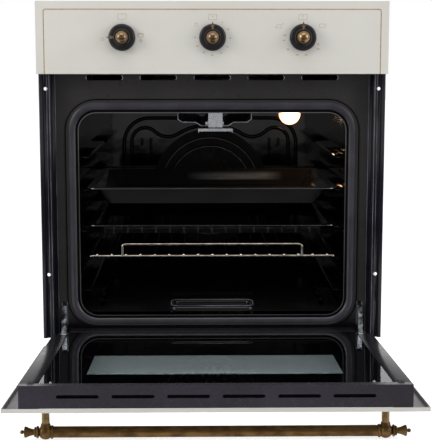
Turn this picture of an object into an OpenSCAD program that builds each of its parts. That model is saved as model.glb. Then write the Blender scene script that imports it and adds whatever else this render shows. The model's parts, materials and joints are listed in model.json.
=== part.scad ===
// Built-in gas oven, 60 cm class, door open on its stops
// Millimetres; +X right, +Y towards the rear, +Z up
// The origin is the centre of the base, on the niche shelf

/* [Overall size] */
// Width of the control panel and the door
front_w = 595; // [592:0.5:598]
// Height from the niche shelf to the top of the control panel
front_h = 595; // [592:0.5:600]
// Step from the panel's side edge in to the carcass
carcass_in = 25; // [23.5:0.5:26]
// Step from the panel's top down to the carcass's top
carcass_drop = 22; // [15:1:25]
// Depth of the carcass behind the front frame
carcass_d = 520; // [518:1:540]
// Thickness of the sheet metal
sheet = 1.2; // [1:0.1:1.4]
// Clearance between pieces that are fitted together
fit_gap = 0.3; // [0.2:0.05:0.4]

/* [Control panel] */
// Height of the control panel
panel_h = 121.5; // [119:0.5:124]
// Depth of the control panel's folded edge
panel_d = 20.5; // [19:0.5:23]
// Distance between neighbouring knobs
knob_pitch = 152; // [145:1:158]
// Height of the knobs' axis above the panel's lower edge
knob_rise = 61; // [56:1:66]
// Radius of the holes that the spindles pass through
spindle_hole_r = 6; // [5:0.5:7]
// Thickness of the sheet of the panel and of the door's skin
panel_skin = 1.5; // [1.2:0.1:2]

/* [Knobs] */
// Radius of the dark skirt
skirt_r = 22.5; // [20:0.5:24]
// Thickness of the dark skirt
skirt_h = 8; // [6:0.5:10]
// Radius of the brass ring under the dome
ring_r = 14; // [13:0.5:15]
// Radius of the brass dome
dome_r = 11; // [9:0.5:12]
// Reach of the pointer's tip from the knob's axis
pointer_reach = 27; // [25:0.5:28]
// Radius of the spindles
spindle_r = 3; // [2.5:0.1:3.2]
// Gap between a skirt and the panel
knob_gap = 4; // [3.5:0.5:6]
// How far the thermostat knob can be pushed in
push_travel = 3; // [2:0.5:3]

/* [Front frame] */
// How far the frame's face lies behind the cabinet's front
frame_set = 21.5; // [20.5:0.5:24]
// Height of the frame's and the columns' lower ends above the shelf
column_foot = 12; // [10:1:14]
// Radius of the cabinet screw holes
screw_hole_r = 3; // [2.5:0.1:3.5]
// Distance of the screw holes from the column's outer edge
screw_in = 10.5; // [10:0.5:11]
// Height of the lower screw holes
screw_low_z = 125; // [115:1:135]
// Distance of the upper screw holes below the panel's lower edge
screw_drop = 25.5; // [20:0.5:35]
// Length of a vent slot
vent_slot_w = 64; // [58:1:70]
// Height of a vent slot
vent_slot_h = 9; // [7:0.5:9.5]
// Distance between neighbouring vent slots
vent_pitch = 93; // [90:1:95]

/* [Cavity] */
// Space between the carcass's side and the cavity
cavity_in = 39.5; // [38.5:0.5:40.5]
// Distance from the panel's lower edge down to the cavity's ceiling
ceiling_drop = 66.5; // [64.5:0.5:68.5]
// Height of the lower edge of the mouth
mouth_z = 48; // [46:1:50]
// Corner radius of the mouth
mouth_r = 32; // [26:1:38]
// Depth of the space behind the cavity
rear_space = 122; // [115:1:124]
// Height of the liner's floor
liner_z = 22; // [20:1:24]
// Width of the raised collar round the mouth
collar_w = 22; // [20:0.5:22]
// Width of the seal
seal_w = 13; // [11:0.5:13.5]
// Thickness of the insulation
wool = 26; // [22:1:26]
// Heights of the five runner ledges
ledge_z = [92, 150.7, 207, 272.5, 331];
// Reach of a runner ledge from the side wall
ledge_reach = 17; // [16:0.5:18]
// Height of a runner ledge
ledge_h = 8; // [7:0.5:9]

/* [Fan and lamp] */
// Height of the convection fan's axis above the middle of the cavity
fan_rise = 20.5; // [16:0.5:25]
// Radius of the fan cover
cover_r = 119; // [117:1:120]
// Radius of the flat perforated middle
grille_r = 85; // [80:1:88]
// Radius of the convection fan
fan_r = 78; // [70:1:80]
// Distance of the lamp's axis from the cavity's side wall
lamp_in = 69; // [66:1:73]
// Distance of the lamp's axis below the ceiling
lamp_drop = 22.5; // [22.5:0.5:27]
// Radius of the lamp's glass
lamp_r = 22; // [19:0.5:22]

/* [Grill] */
// Sideways place of the grill's middle
grill_x = 4.5; // [0:0.5:6]
// Half width of the reflector
grill_half_w = 64.5; // [60:0.5:68]
// Length of the reflector from front to back
grill_l = 300; // [280:5:320]
// Set-back of the reflector behind the front frame
grill_set = 26; // [24:1:30]

/* [Trays and rack] */
// Gap between the trays and the cavity's side walls
tray_gap = 12.5; // [11.5:0.5:14]
// Gap between the trays and the cavity's back wall
tray_back_gap = 15; // [12:1:24]
// Width of the tray rims
rim_w = 12; // [10:0.5:14]
// Depth of the deep tray
deep_h = 31; // [25:1:36]
// Depth of the shallow tray
shallow_h = 17; // [14:1:22]
// Set-back of the trays behind the front frame
tray_set = 8; // [6:1:12]
// Thickness of the rack's outer wire
rack_wire = 4; // [3.5:0.5:5]
// Thickness of the rack's thin bars
rack_bar = 3; // [2.5:0.25:4]
// Number of the rack's thin bars
rack_bars = 17; // [15:2:19]
// Distance from the rack's outer wire to the outermost thin bars
bar_margin = 15.3; // [12:0.1:20]

/* [Door] */
// Gap between the door's top edge and the control panel
door_gap = 4; // [3:0.5:5]
// Height of the closed door's lower edge above the shelf
door_foot = 8.5; // [8:0.5:10]
// Thickness of the door
door_t = 38; // [36:0.5:38]
// Depth of the outer skin's folded rim
skin_rim = 6; // [5:0.5:7]
// Step from the door's side edge in to its inner body
body_in = 24; // [23.5:0.5:25]
// Width of the side strips beside the inner glass
strip_w = 26; // [25:0.5:27]
// Angle by which the door is open
door_open = 86.8; // [80:0.1:88]
// Height of the hinge axis
hinge_z = 14.8; // [14:0.1:15.5]
// Distance of the hinge axis behind the door's outer face
hinge_in = 24.4; // [24:0.1:25]
// Radius of the hinge pins
pin_r = 3; // [2.5:0.1:3.2]
// Running clearance round pins and shafts
run_gap = 0.05; // [0.03:0.01:0.08]
// Distance of the hinges from the side of the inner body
hinge_side = 12.5; // [12:0.25:13]
// Distance from the door's side edge to the window
window_side = 114; // [108:1:122]
// Height of the window
window_h = 137; // [120:1:145]
// Distance from the door's top edge to the window
window_drop = 61; // [58:1:70]
// Thickness of the glasses
glass_t = 4; // [3.5:0.5:4.5]

/* [Handle] */
// Distance of the handle's posts from the door's side edges
post_side = 56.5; // [52:0.5:62]
// Radius of the posts
post_r = 5.6; // [5:0.2:6]
// Distance of the bar's axis from the door's face
bar_out = 37; // [34:0.5:45]
// Distance of the bar's axis from the door's top edge
bar_drop = 40; // [36:1:46]
// Radius of the bar
bar_r = 8; // [7:0.25:8.5]
// Radius of the balls on the posts
ball_r = 10.6; // [10.2:0.2:11]

/* [Gas parts] */
// Radius of the gas inlet's thread
inlet_r = 10.48; // [10.4:0.02:10.5]
// Length of the gas inlet's thread
inlet_l = 15; // [14:0.5:18]
// Radius of the collar that the thread stands on
inlet_collar_r = 14; // [13:0.5:15]
// Radius of the gas pipes
pipe_r = 4; // [3.5:0.25:4.5]
// Radius of the floor burner's tube
burner_r = 9; // [8:0.5:10]

/* [Hidden] */
$fn = 64;

carcass_w = front_w - 2 * carcass_in;
carcass_h = front_h - carcass_drop;
cavity_w = carcass_w - 2 * cavity_in;
cavity_d = carcass_d - rear_space;
frame_y = -carcass_d / 2;
cabinet_y = frame_y - frame_set;
face_y = cabinet_y - panel_d;
rear_y = carcass_d / 2;
back_y = frame_y + cavity_d;
half_cavity = cavity_w / 2;
half_carcass = carcass_w / 2;
panel_z = front_h - panel_h;
knob_z = panel_z + knob_rise;
ceiling_z = panel_z - ceiling_drop;
mouth_h = ceiling_z - mouth_z;
mid_z = (liner_z + ceiling_z) / 2;
liner_h = ceiling_z - liner_z;
inner_r = 14;
door_z1 = panel_z - door_gap;
door_h = door_z1 - door_foot;
door_body_w = front_w - 2 * body_in;
half_body = door_body_w / 2;
glass_w = door_body_w - 2 * strip_w;
hinge_x = half_body - hinge_side;
window_w = front_w - 2 * window_side;
window_z1 = door_z1 - window_drop;
window_lap = 18;
window_mid_z = window_z1 - window_h / 2;
column_half = half_body + 3;
column_out = front_w / 2 - 1.5;
column_t = 1.4;
column_groove = 3.5;
column_lip = 6;
collar_t = 1;
seal_h = panel_d + frame_set - door_t - collar_t - fit_gap;
wool_z1 = ceiling_z + sheet + fit_gap + wool;
duct_z0 = wool_z1 + fit_gap;
duct_z1 = panel_z + 1;
tray_w = cavity_w - 2 * tray_gap;
tray_d = cavity_d - tray_set - tray_back_gap;
tray_y = frame_y + tray_set + tray_d / 2;
chassis_y = cabinet_y;
body_front_y = chassis_y + sheet;
fan_z = mid_z + fan_rise;
fan_pot_d = 32;
fan_shaft_r = 4;
lamp_x = half_cavity - lamp_in;
lamp_z = ceiling_z - lamp_drop;
lamp_hole_r = 16;
lamp_socket_r = 8;
holder_r = 20;
holder_d = 34;
bead_t = 2.2;
bead_w = 7;
floor_top = 55;
plate_gap = 6;
burner_z = liner_z + 5 + burner_r;
burner_leg_x = 70;
burner_end_y = back_y + wool + 14;
grill_pipe_z = ceiling_z - 12;
grill_pipe_r = 5;
blower_y = frame_y + 250;
blower_z = duct_z0 + 40;
blower_shaft_r = 3;
housing_half = 118;
housing_d = 68;
housing_h = 80;
blower_motor_l = 42;
motor_r = 24;
port_gap = 0.1;
port_y = body_front_y + 34;
side_port_y = body_front_y + 59;
rear_port_y = body_front_y + 62;
port_reach = 18;
inlet_x = knob_pitch + 48;
inlet_z = knob_z;
tap_out_z = knob_z + 12;
pipe_bend = 12;
drop_y = rear_y - 45;
gland_x = -inlet_x;
gland_r = 9;
plug_r = 7;
plug_l = 34;
stem_l = 16;
stem_gap = 0.2;
claw_t = 8;
claw_low = 20;
claw_high = 52;
claw_slot_gap = 6;
fork_t = 3;
fork_gap = 0.8;
channel_foot = door_foot + 3.5;
channel_h = 60;
channel_z0 = channel_foot + channel_h;
glass_foot = 46;
top_flange = 16;
knob_face_y = face_y - knob_gap;
handle_z = door_z1 - bar_drop;
handle_y = face_y - bar_out;
post_x = front_w / 2 - post_side;
post_seat = sqrt(ball_r ^ 2 - post_r ^ 2) - 0.5;
bar_seat = sqrt(ball_r ^ 2 - bar_r ^ 2) - 0.3;

// Rounded rectangle centred on the origin
module round_rect(w, h, r) {
  square([w - 2 * r, h], center = true);
  square([w, h - 2 * r], center = true);
  for (x = [-1, 1], y = [-1, 1]) {
    translate([x * (w / 2 - r), y * (h / 2 - r)])
      circle(r);
  }
}

// Plate in the XZ plane whose front face is at y and whose thickness runs back
module upright(y, t) {
  translate([0, y + t, 0])
    rotate([90, 0, 0])
      linear_extrude(t)
        children();
}

// Sweeps a profile round a rounded rectangle; profile x is outwards, profile y is up
module sweep_round(w, l, r) {
  for (k = [0:3]) {
    half_x = k % 2 == 0 ? w / 2 : l / 2;
    half_y = k % 2 == 0 ? l / 2 : w / 2;
    rotate([0, 0, 90 * k]) {
      translate([half_x, 0, 0])
        rotate([90, 0, 0])
          linear_extrude(2 * (half_y - r), center = true)
            children();
      translate([half_x - r, half_y - r, 0])
        rotate_extrude(angle = 90)
          translate([r, 0])
            children();
    }
  }
}

// The same sweep stood upright; profile y points to the front
module sweep_upright(w, h, r) {
  rotate([90, 0, 0])
    sweep_round(w, h, r)
      children();
}

// Cylinder along Y from y0 to y1
module rod_y(r, y0, y1) {
  translate([0, y0, 0])
    rotate([-90, 0, 0])
      cylinder(h = y1 - y0, r = r);
}

// Cylinder along X from x0 to x1
module rod_x(r, x0, x1) {
  translate([x0, 0, 0])
    rotate([0, 90, 0])
      cylinder(h = x1 - x0, r = r);
}

// Unit vector to the left of the run from a to b
function left_of(a, b) = [a.y - b.y, b.x - a.x] / norm(b - a);

// Offset from point i of a path to the mitred corner of a strip of thickness t
function mitre(points, i, t) =
  let (
    last = len(points) - 1,
    before = left_of(points[max(i - 1, 0)], points[max(i, 1)]),
    after = left_of(points[min(i, last - 1)], points[min(i + 1, last)]),
    side = (before + after) / norm(before + after)
  )
  side * t / 2 / (side * after);

// Strip of sheet that follows straight runs between points
module bent_strip(points, t) {
  last = len(points) - 1;
  left_side = [for (i = [0:last]) points[i] + mitre(points, i, t)];
  right_side = [for (i = [last:-1:0]) points[i] - mitre(points, i, t)];
  polygon(concat(left_side, right_side));
}

// Puts children at x and at -x, mirrored
module both_sides() {
  children();
  mirror([1, 0, 0])
    children();
}

// Turns the closed door about its hinge axis
module swung() {
  translate([0, face_y + hinge_in, hinge_z])
    rotate([door_open, 0, 0])
      translate([0, -face_y - hinge_in, -hinge_z])
        children();
}

// Row of obround slots along X, centred
module slot_row(count, pitch, w, h) {
  for (i = [0:count - 1]) {
    translate([(i - (count - 1) / 2) * pitch, 0])
      round_rect(w, h, h / 2 - 0.01);
  }
}

module carcass_shell() {
  color([0.62, 0.63, 0.64])
    difference() {
      upright(frame_y + sheet, carcass_d - 2 * sheet)
        difference() {
          translate([-half_carcass, sheet])
            square([carcass_w, carcass_h - sheet]);
          translate([-half_carcass + sheet, 0])
            square([carcass_w - 2 * sheet, carcass_h - sheet]);
        }
      // Louvres in the sides, near the rear
      for (i = [0:7]) {
        translate([0, rear_y - 100, carcass_h - 60 - 14 * i])
          rotate([90, 0, 90])
            linear_extrude(2 * carcass_w, center = true)
              round_rect(70, 5, 2.4);
      }
      // Vents in the top
      for (i = [0:5]) {
        translate([0, 20 + 16 * i, carcass_h])
          linear_extrude(4 * sheet, center = true)
            slot_row(3, 110, 80, 6);
      }
    }
}

module base_pan() {
  pan_half = half_carcass - sheet - fit_gap;
  color([0.60, 0.61, 0.62]) {
    difference() {
      translate([-half_carcass, frame_y + sheet, 0])
        cube([carcass_w, carcass_d - 2 * sheet, sheet]);
      for (i = [-3:3]) {
        translate([0, i * 60 + (i == 0 ? 30 : 0), 0])
          linear_extrude(4 * sheet, center = true)
            slot_row(4, 120, 60, 6);
      }
    }
    both_sides()
      translate([pan_half - sheet, frame_y + 2 * sheet, sheet])
        cube([sheet, carcass_d - 4 * sheet, 9]);
  }
}

module rear_cover() {
  color([0.62, 0.63, 0.64])
    difference() {
      translate([-half_carcass, rear_y - sheet, 0])
        cube([carcass_w, sheet, carcass_h]);
      translate([inlet_x, 0, inlet_z])
        rod_y(inlet_collar_r + fit_gap, rear_y - 4 * sheet, rear_y + sheet);
      translate([gland_x, 0, inlet_z])
        rod_y(gland_r + fit_gap, rear_y - 4 * sheet, rear_y + sheet);
      for (i = [0:6]) {
        translate([0, 0, fan_z - 60 + 18 * i])
          upright(rear_y - 2 * sheet, 3 * sheet)
            slot_row(3, 60, 45, 6);
      }
      for (i = [0:2]) {
        translate([0, 0, blower_z + 20 * i])
          upright(rear_y - 2 * sheet, 3 * sheet)
            slot_row(4, 60, 45, 6);
      }
    }
}

module mouth_outline(grow) {
  translate([0, (mouth_z + ceiling_z) / 2])
    round_rect(cavity_w + 2 * grow, mouth_h + 2 * grow, mouth_r + grow);
}

module front_frame() {
  vent_z = panel_z - 2.5 - vent_slot_h / 2;
  claw_slot_h = claw_high - claw_low + 2 * claw_slot_gap;
  color([0.16, 0.15, 0.15]) {
    upright(frame_y, sheet)
      difference() {
        translate([-column_half - column_t, column_foot])
          square([2 * (column_half + column_t), carcass_h - column_foot]);
        mouth_outline(0);
        translate([0, vent_z])
          slot_row(5, vent_pitch, vent_slot_w, vent_slot_h);
        for (x = [-1, 0, 1]) {
          translate([x * knob_pitch, knob_z])
            round_rect(56, 50, 4);
        }
        for (x = [-1, 1]) {
          translate([x * hinge_x, hinge_z + (claw_low + claw_high) / 2])
            round_rect(claw_t + 3, claw_slot_h, 3);
        }
      }
    upright(frame_y - collar_t, collar_t)
      difference() {
        mouth_outline(collar_w);
        mouth_outline(0);
      }
  }
}

module side_columns() {
  column_h = front_h - 8 - column_foot;
  flange_y = cabinet_y + column_t / 2;
  groove_y = flange_y + column_groove;
  inner_x = column_half + column_t / 2;
  web_y = frame_y - column_t / 2;
  hole_x = column_out - screw_in;
  profile = [[column_out, flange_y + 10], [column_out, flange_y], [hole_x + 5.5, flange_y],
    [hole_x + 4, groove_y], [hole_x - 4.5, groove_y], [hole_x - 6, flange_y],
    [inner_x, flange_y], [inner_x, web_y], [column_half - column_lip, web_y]];
  color([0.10, 0.10, 0.12])
    both_sides()
      difference() {
        translate([0, 0, column_foot])
          linear_extrude(column_h)
            bent_strip(profile, column_t);
        for (z = [screw_low_z, panel_z - screw_drop]) {
          translate([hole_x, 0, z])
            rod_y(screw_hole_r, groove_y - 3, groove_y + 3);
        }
      }
}

// Section of a bead of width w: two sloping flanks and a narrow crest, standing on the wall
module bead_section(w) {
  polygon([[-w / 2, 0], [w / 2, 0], [w / 5, bead_t], [-w / 5, bead_t]]);
}

module bead_line(x, z, w, l) {
  translate([x, z + l])
    rotate([90, 0, 0])
      linear_extrude(l)
        bead_section(w);
}

module bead_arc(x, z, r, w, from, to) {
  translate([x, z])
    rotate(from)
      rotate_extrude(angle = to - from)
        translate([r, 0])
          bead_section(w);
}

// Raised beads pressed into the back wall, drawn in its plane and mirrored
module back_beads() {
  outer_x = half_cavity - 55;
  outer_top = ceiling_z - 31;
  outer_r = 52;
  low_z = liner_z + 88;
  inner_x = outer_x - 16;
  inner_low_z = low_z + 40;
  wave_r = 28;
  crest_x = inner_x - wave_r;
  crest_z = outer_top - 48;
  ring_r = cover_r + 8;
  dip_r = 40;
  // The dip's arc touches the crest's arc and the ring round the fan
  span = norm([crest_x, crest_z - fan_z]);
  toward_fan = [-crest_x, fan_z - crest_z] / span;
  run = ((wave_r + dip_r) ^ 2 - (ring_r + dip_r) ^ 2 + span ^ 2) / (2 * span);
  rise = sqrt((wave_r + dip_r) ^ 2 - run ^ 2);
  dip_x = crest_x + run * toward_fan.x + rise * toward_fan.y;
  dip_z = crest_z + run * toward_fan.y - rise * toward_fan.x;
  crest_end = atan2(dip_z - crest_z, dip_x - crest_x);
  ring_start = atan2(dip_z - fan_z, dip_x);
  rib_top = crest_z + 7;
  both_sides() {
    bead_line(outer_x, low_z, bead_w, outer_top - outer_r - low_z);
    bead_arc(outer_x - outer_r, outer_top - outer_r, outer_r, bead_w, 0, 90);
    bead_line(inner_x, inner_low_z, bead_w, crest_z - inner_low_z);
    bead_arc(crest_x, crest_z, wave_r, bead_w, 0, crest_end);
    bead_arc(dip_x, dip_z, dip_r, bead_w, ring_start - 180, crest_end - 180);
    // A short and a long rib under each crest
    for (rib = [[inner_x - 21, 16], [inner_x - 39.5, 44]]) {
      bead_line(rib.x, rib_top - rib.y, 5, rib.y);
    }
  }
  translate([outer_x - outer_r, outer_top])
    rotate(90)
      bead_line(0, 0, bead_w, 2 * (outer_x - outer_r));
  bead_arc(0, fan_z, ring_r, bead_w, ring_start, 180 - ring_start);
}

// One ledge on the right wall, from front to back, with a sloping lead-in at its front
module runner_ledge(z) {
  nose_r = ledge_h / 2;
  front_y = frame_y + 30;
  lead_l = 14;
  difference() {
    translate([0, front_y, z - nose_r])
      rotate([-90, 0, 0])
        linear_extrude(tray_d - 40) {
          translate([half_cavity - ledge_reach + nose_r, 0])
            circle(nose_r);
          translate([half_cavity - ledge_reach + nose_r, -nose_r])
            square([ledge_reach - nose_r, ledge_h]);
        }
    translate([0, front_y + lead_l, z])
      rotate([atan(nose_r / lead_l), 0, 0])
        translate([half_cavity - ledge_reach - 1, -2 * lead_l, 0])
          cube([ledge_reach + 2, 2 * lead_l, ledge_h]);
  }
}

module runner_ledges() {
  color([0.11, 0.11, 0.12])
    both_sides()
      for (z = ledge_z) {
        runner_ledge(z);
      }
}

module cavity_liner() {
  color([0.11, 0.11, 0.12]) {
    difference() {
      translate([0, 0, mid_z])
        upright(frame_y + sheet, cavity_d)
          round_rect(cavity_w + 2 * sheet, liner_h + 2 * sheet, inner_r + sheet);
      translate([0, 0, mid_z])
        upright(frame_y, cavity_d)
          round_rect(cavity_w, liner_h, inner_r);
      translate([0, 0, fan_z])
        rod_y(cover_r - 15, back_y - 10, back_y + 10);
      translate([lamp_x, 0, lamp_z])
        rod_y(lamp_hole_r, back_y - 10, back_y + 10);
      translate([0, 0, burner_z])
        rod_y(burner_r + 1, back_y - 10, back_y + 10);
      translate([grill_x, 0, grill_pipe_z])
        rod_y(grill_pipe_r + 1, back_y - 10, back_y + 10);
    }
    translate([0, back_y, 0])
      rotate([90, 0, 0])
        difference() {
          back_beads();
          translate([0, fan_z, 0])
            cylinder(h = 20, r = cover_r + 2, center = true);
          translate([lamp_x, lamp_z, 0])
            cylinder(h = 20, r = lamp_r + 2, center = true);
        }
  }
}

module insulation() {
  gap = fit_gap + sheet;
  outer_half = half_cavity + gap + wool;
  low = liner_z - gap - 6;
  color([0.85, 0.83, 0.75])
    difference() {
      translate([-outer_half, frame_y + sheet + fit_gap, low])
        cube([2 * outer_half, cavity_d + wool, wool_z1 - low]);
      translate([0, 0, mid_z])
        upright(frame_y, back_y - frame_y + gap)
          round_rect(cavity_w + 2 * gap, liner_h + 2 * gap, inner_r + gap);
      translate([0, 0, fan_z])
        rod_y(cover_r + 1, back_y - 10, rear_y);
      translate([lamp_x, 0, lamp_z])
        rod_y(holder_r + 4, back_y - 10, rear_y);
      translate([0, 0, burner_z])
        rod_y(burner_r + 3, back_y - 10, rear_y);
      translate([grill_x, 0, grill_pipe_z])
        rod_y(2 * grill_pipe_r, back_y - 10, rear_y);
      both_sides()
        translate([hinge_x - 9, frame_y - 1, hinge_z + claw_low - 15])
          cube([40, 40, claw_high - claw_low + 38]);
    }
}

module seal_profile() {
  arc_r = (seal_w ^ 2 / 4 + seal_h ^ 2) / (2 * seal_h);
  intersection() {
    translate([0, seal_h - arc_r])
      circle(arc_r, $fn = 96);
    translate([-seal_w / 2, 0])
      square([seal_w, seal_h + 1]);
  }
}

module door_seal() {
  grow = collar_w / 2;
  color([0.22, 0.22, 0.24])
    translate([0, frame_y - collar_t, (mouth_z + ceiling_z) / 2])
      sweep_upright(cavity_w + 2 * grow, mouth_h + 2 * grow, mouth_r + grow)
        seal_profile();
}

module floor_plate() {
  plate_t = 1.5;
  plate_w = cavity_w - plate_gap;
  plate_d = cavity_d - 16;
  leg_h = floor_top - plate_t - liner_z;
  mid_y = frame_y + sheet + plate_gap + plate_d / 2;
  pad_w = 172;
  pad_d = 190;
  grip_w = 147;
  grip_d = 56;
  grip_r = 5;
  color([0.09, 0.09, 0.10]) {
    difference() {
      translate([-plate_w / 2, mid_y - plate_d / 2, floor_top - plate_t])
        cube([plate_w, plate_d, plate_t]);
      both_sides()
        for (i = [-2:2]) {
          translate([plate_w / 2 - 30, mid_y + 62 * i, floor_top])
            linear_extrude(10, center = true)
              round_rect(10, 46, 4.9);
        }
    }
    both_sides()
      translate([half_cavity - inner_r - 2 - plate_t, mid_y - plate_d / 2, liner_z])
        cube([plate_t, plate_d, leg_h]);
    // Raised middle panel
    translate([0, back_y - 148, floor_top])
      linear_extrude(2.5)
        round_rect(pad_w, pad_d, 14);
    // Grip loop near the front
    translate([0, frame_y + 50, floor_top])
      sweep_round(grip_w, grip_d, 14)
        intersection() {
          circle(grip_r);
          translate([-grip_r, 0])
            square([2 * grip_r, grip_r]);
        }
  }
}

module floor_burner() {
  leg_x = burner_leg_x;
  front_y = frame_y + 90;
  end_y = back_y - 60;
  color([0.55, 0.55, 0.56])
    difference() {
      union() {
        translate([0, 0, burner_z]) {
          both_sides()
            translate([leg_x, 0, 0])
              rod_y(burner_r, front_y, end_y);
          translate([0, front_y, 0])
            rod_x(burner_r, -leg_x, leg_x);
          translate([0, end_y, 0])
            rod_x(burner_r, -leg_x, leg_x);
          both_sides()
            for (y = [front_y, end_y]) {
              translate([leg_x, y, 0])
                sphere(burner_r);
            }
          rod_y(burner_r, end_y, burner_end_y);
        }
        // Feet on the liner's floor
        both_sides()
          for (y = [front_y + 20, end_y - 20]) {
            translate([leg_x, y, liner_z])
              cylinder(h = burner_z - liner_z, r = 4);
          }
      }
      both_sides()
        for (i = [0:11]) {
          translate([leg_x, front_y + 15 + 17 * i, burner_z])
            rod_x(1.2, 0, 2 * burner_r);
        }
    }
}

module grill_reflector() {
  top = ceiling_z - fit_gap;
  w = grill_half_w;
  edge_z = ceiling_z - 13.5;
  wing_z = ceiling_z - 19;
  tray_z = ceiling_z - 24.8;
  tray_half = 24;
  wing_half = tray_half + 9;
  profile = [[-w, top], [-w, edge_z], [-w + 7, wing_z + 0.5], [-wing_half, wing_z],
    [-tray_half, tray_z], [tray_half, tray_z], [wing_half, wing_z],
    [w - 7, wing_z + 0.5], [w, edge_z], [w, top]];
  color([0.14, 0.14, 0.15])
    translate([grill_x, 0, 0])
      upright(frame_y + grill_set, grill_l)
        bent_strip(profile, 1.4);
}

module grill_burner() {
  front = frame_y + grill_set + 12;
  color([0.50, 0.50, 0.51])
    translate([grill_x, 0, 0]) {
      translate([-16, front, ceiling_z - 23.7])
        cube([32, grill_l - 24, 5]);
      translate([0, 0, grill_pipe_z]) {
        rod_y(8.4, front, front + grill_l - 24);
        rod_y(grill_pipe_r, front, burner_end_y);
      }
    }
}

// A strap from the ceiling with a lipped shelf under the reflector at its foot
module grill_bracket() {
  strap_w = 25;
  strap_t = 1.5;
  strap_h = 28;
  shelf_w = 58;
  lip_out = 5;
  lip_h = 4.5;
  front = frame_y + grill_set;
  foot_z = ceiling_z - strap_h;
  color([0.72, 0.72, 0.72])
    translate([grill_x + 1.3, 0, 0]) {
      translate([-strap_w / 2, front - strap_t, foot_z - 1])
        cube([strap_w, strap_t, strap_h + 1 - fit_gap]);
      translate([-strap_w / 2, front - strap_t, ceiling_z - strap_t - fit_gap])
        cube([strap_w, 18, 1.2]);
      translate([-shelf_w / 2, 0, 0])
        rotate([90, 0, 90])
          linear_extrude(shelf_w)
            bent_strip([[front + 10, foot_z], [front - 1, foot_z], [front - lip_out, foot_z - 2],
              [front - lip_out, foot_z - 2 - lip_h]], 1.2);
      // Ears turned down at the lip's ends
      for (side = [-1, 1]) {
        translate([side * (shelf_w / 2 + 0.5) - 0.75, front - lip_out - 1, foot_z - 4 - lip_h])
          cube([1.5, 8, lip_h + 2]);
      }
    }
}

module lamp_holder() {
  color([0.88, 0.86, 0.80])
    translate([lamp_x, 0, lamp_z])
      difference() {
        rod_y(holder_r, back_y + sheet, back_y + sheet + holder_d);
        rod_y(lamp_socket_r, back_y, back_y + sheet + holder_d - 10);
      }
}

module lamp_bulb() {
  color([1, 0.85, 0.55])
    translate([lamp_x, 0, lamp_z]) {
      rod_y(lamp_socket_r - 0.5, back_y - 6, back_y + sheet + 20);
      translate([0, back_y - 8, 0])
        sphere(10);
    }
}

module lamp_glass() {
  wall = 2.2;
  depth = 26;
  color([0.98, 0.93, 0.80, 0.5])
    translate([lamp_x, back_y, lamp_z])
      rotate([90, 0, 0])
        rotate_extrude()
          difference() {
            polygon([[0, 0], [lamp_r, 0], [lamp_r, 10], [lamp_r - 4, depth - 5], [lamp_r - 9, depth], [0, depth]]);
            polygon([[0, -1], [lamp_r - wall, -1], [lamp_r - wall, 10], [lamp_r - 4 - wall, depth - 5 - wall],
              [0, depth - wall - 1]]);
          }
}

module fan_cover() {
  step = 4.5;
  t = 1.2;
  mid_r = (cover_r + grille_r) / 2;
  face = 2 * step + t;
  color([0.13, 0.13, 0.14])
    translate([0, back_y, fan_z])
      rotate([90, 0, 0])
        difference() {
          rotate_extrude($fn = 128)
            polygon([[0, face - t], [grille_r - 2, face - t], [grille_r, step], [mid_r - 2, step], [mid_r, 0],
              [cover_r, 0], [cover_r, t], [mid_r + 1, t], [mid_r - 1, step + t], [grille_r + 1, step + t],
              [grille_r - 1, face], [0, face]]);
          for (ring = [1:5]) {
            for (i = [0:6 * ring - 1]) {
              rotate([0, 0, 60 * i / ring])
                translate([ring * (grille_r - 10) / 5, 0, 0])
                  cylinder(h = 4 * face, r = 3.6, center = true, $fn = 24);
            }
          }
        }
}

module fan_pot() {
  pot_r = cover_r - 14;
  color([0.58, 0.58, 0.60])
    translate([0, back_y + sheet, fan_z])
      rotate([-90, 0, 0])
        difference() {
          union() {
            cylinder(h = fan_pot_d, r = pot_r);
            cylinder(h = sheet, r = cover_r - 2);
          }
          translate([0, 0, -1])
            cylinder(h = fan_pot_d + 1 - sheet, r = pot_r - sheet);
          cylinder(h = 3 * fan_pot_d, r = fan_shaft_r + 3, center = true);
        }
}

module fan_motor() {
  front = back_y + sheet + fan_pot_d;
  color([0.45, 0.46, 0.48])
    translate([0, 0, fan_z])
      difference() {
        union() {
          rod_y(30, front, front + 34);
          translate([-55, front, -9])
            cube([110, 2, 18]);
        }
        rod_y(fan_shaft_r + run_gap, front - 1, front + 26);
      }
}

module convection_fan() {
  front = back_y + sheet + 4;
  blade_h = 18;
  color([0.60, 0.60, 0.62])
    translate([0, 0, fan_z]) {
      rod_y(fan_r, front + blade_h, front + blade_h + 1.2);
      rod_y(11, front + 4, front + blade_h + 0.4);
      rod_y(fan_shaft_r, front, back_y + sheet + fan_pot_d + 24);
      for (i = [0:9]) {
        rotate([0, 36 * i, 0])
          translate([34, front, -0.75])
            cube([fan_r - 36, blade_h + 0.4, 1.5]);
      }
    }
}

module air_duct() {
  duct_half = (4 * vent_pitch + vent_slot_w) / 2 + 8;
  depth = blower_y - housing_d / 2 - frame_y - sheet - fit_gap;
  color([0.66, 0.67, 0.68])
    upright(frame_y + sheet + fit_gap, depth)
      difference() {
        translate([-duct_half, duct_z0])
          square([2 * duct_half, duct_z1 - duct_z0]);
        translate([-duct_half + sheet, duct_z0 + sheet])
          square([2 * (duct_half - sheet), duct_z1 - duct_z0 - 2 * sheet]);
      }
}

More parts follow.
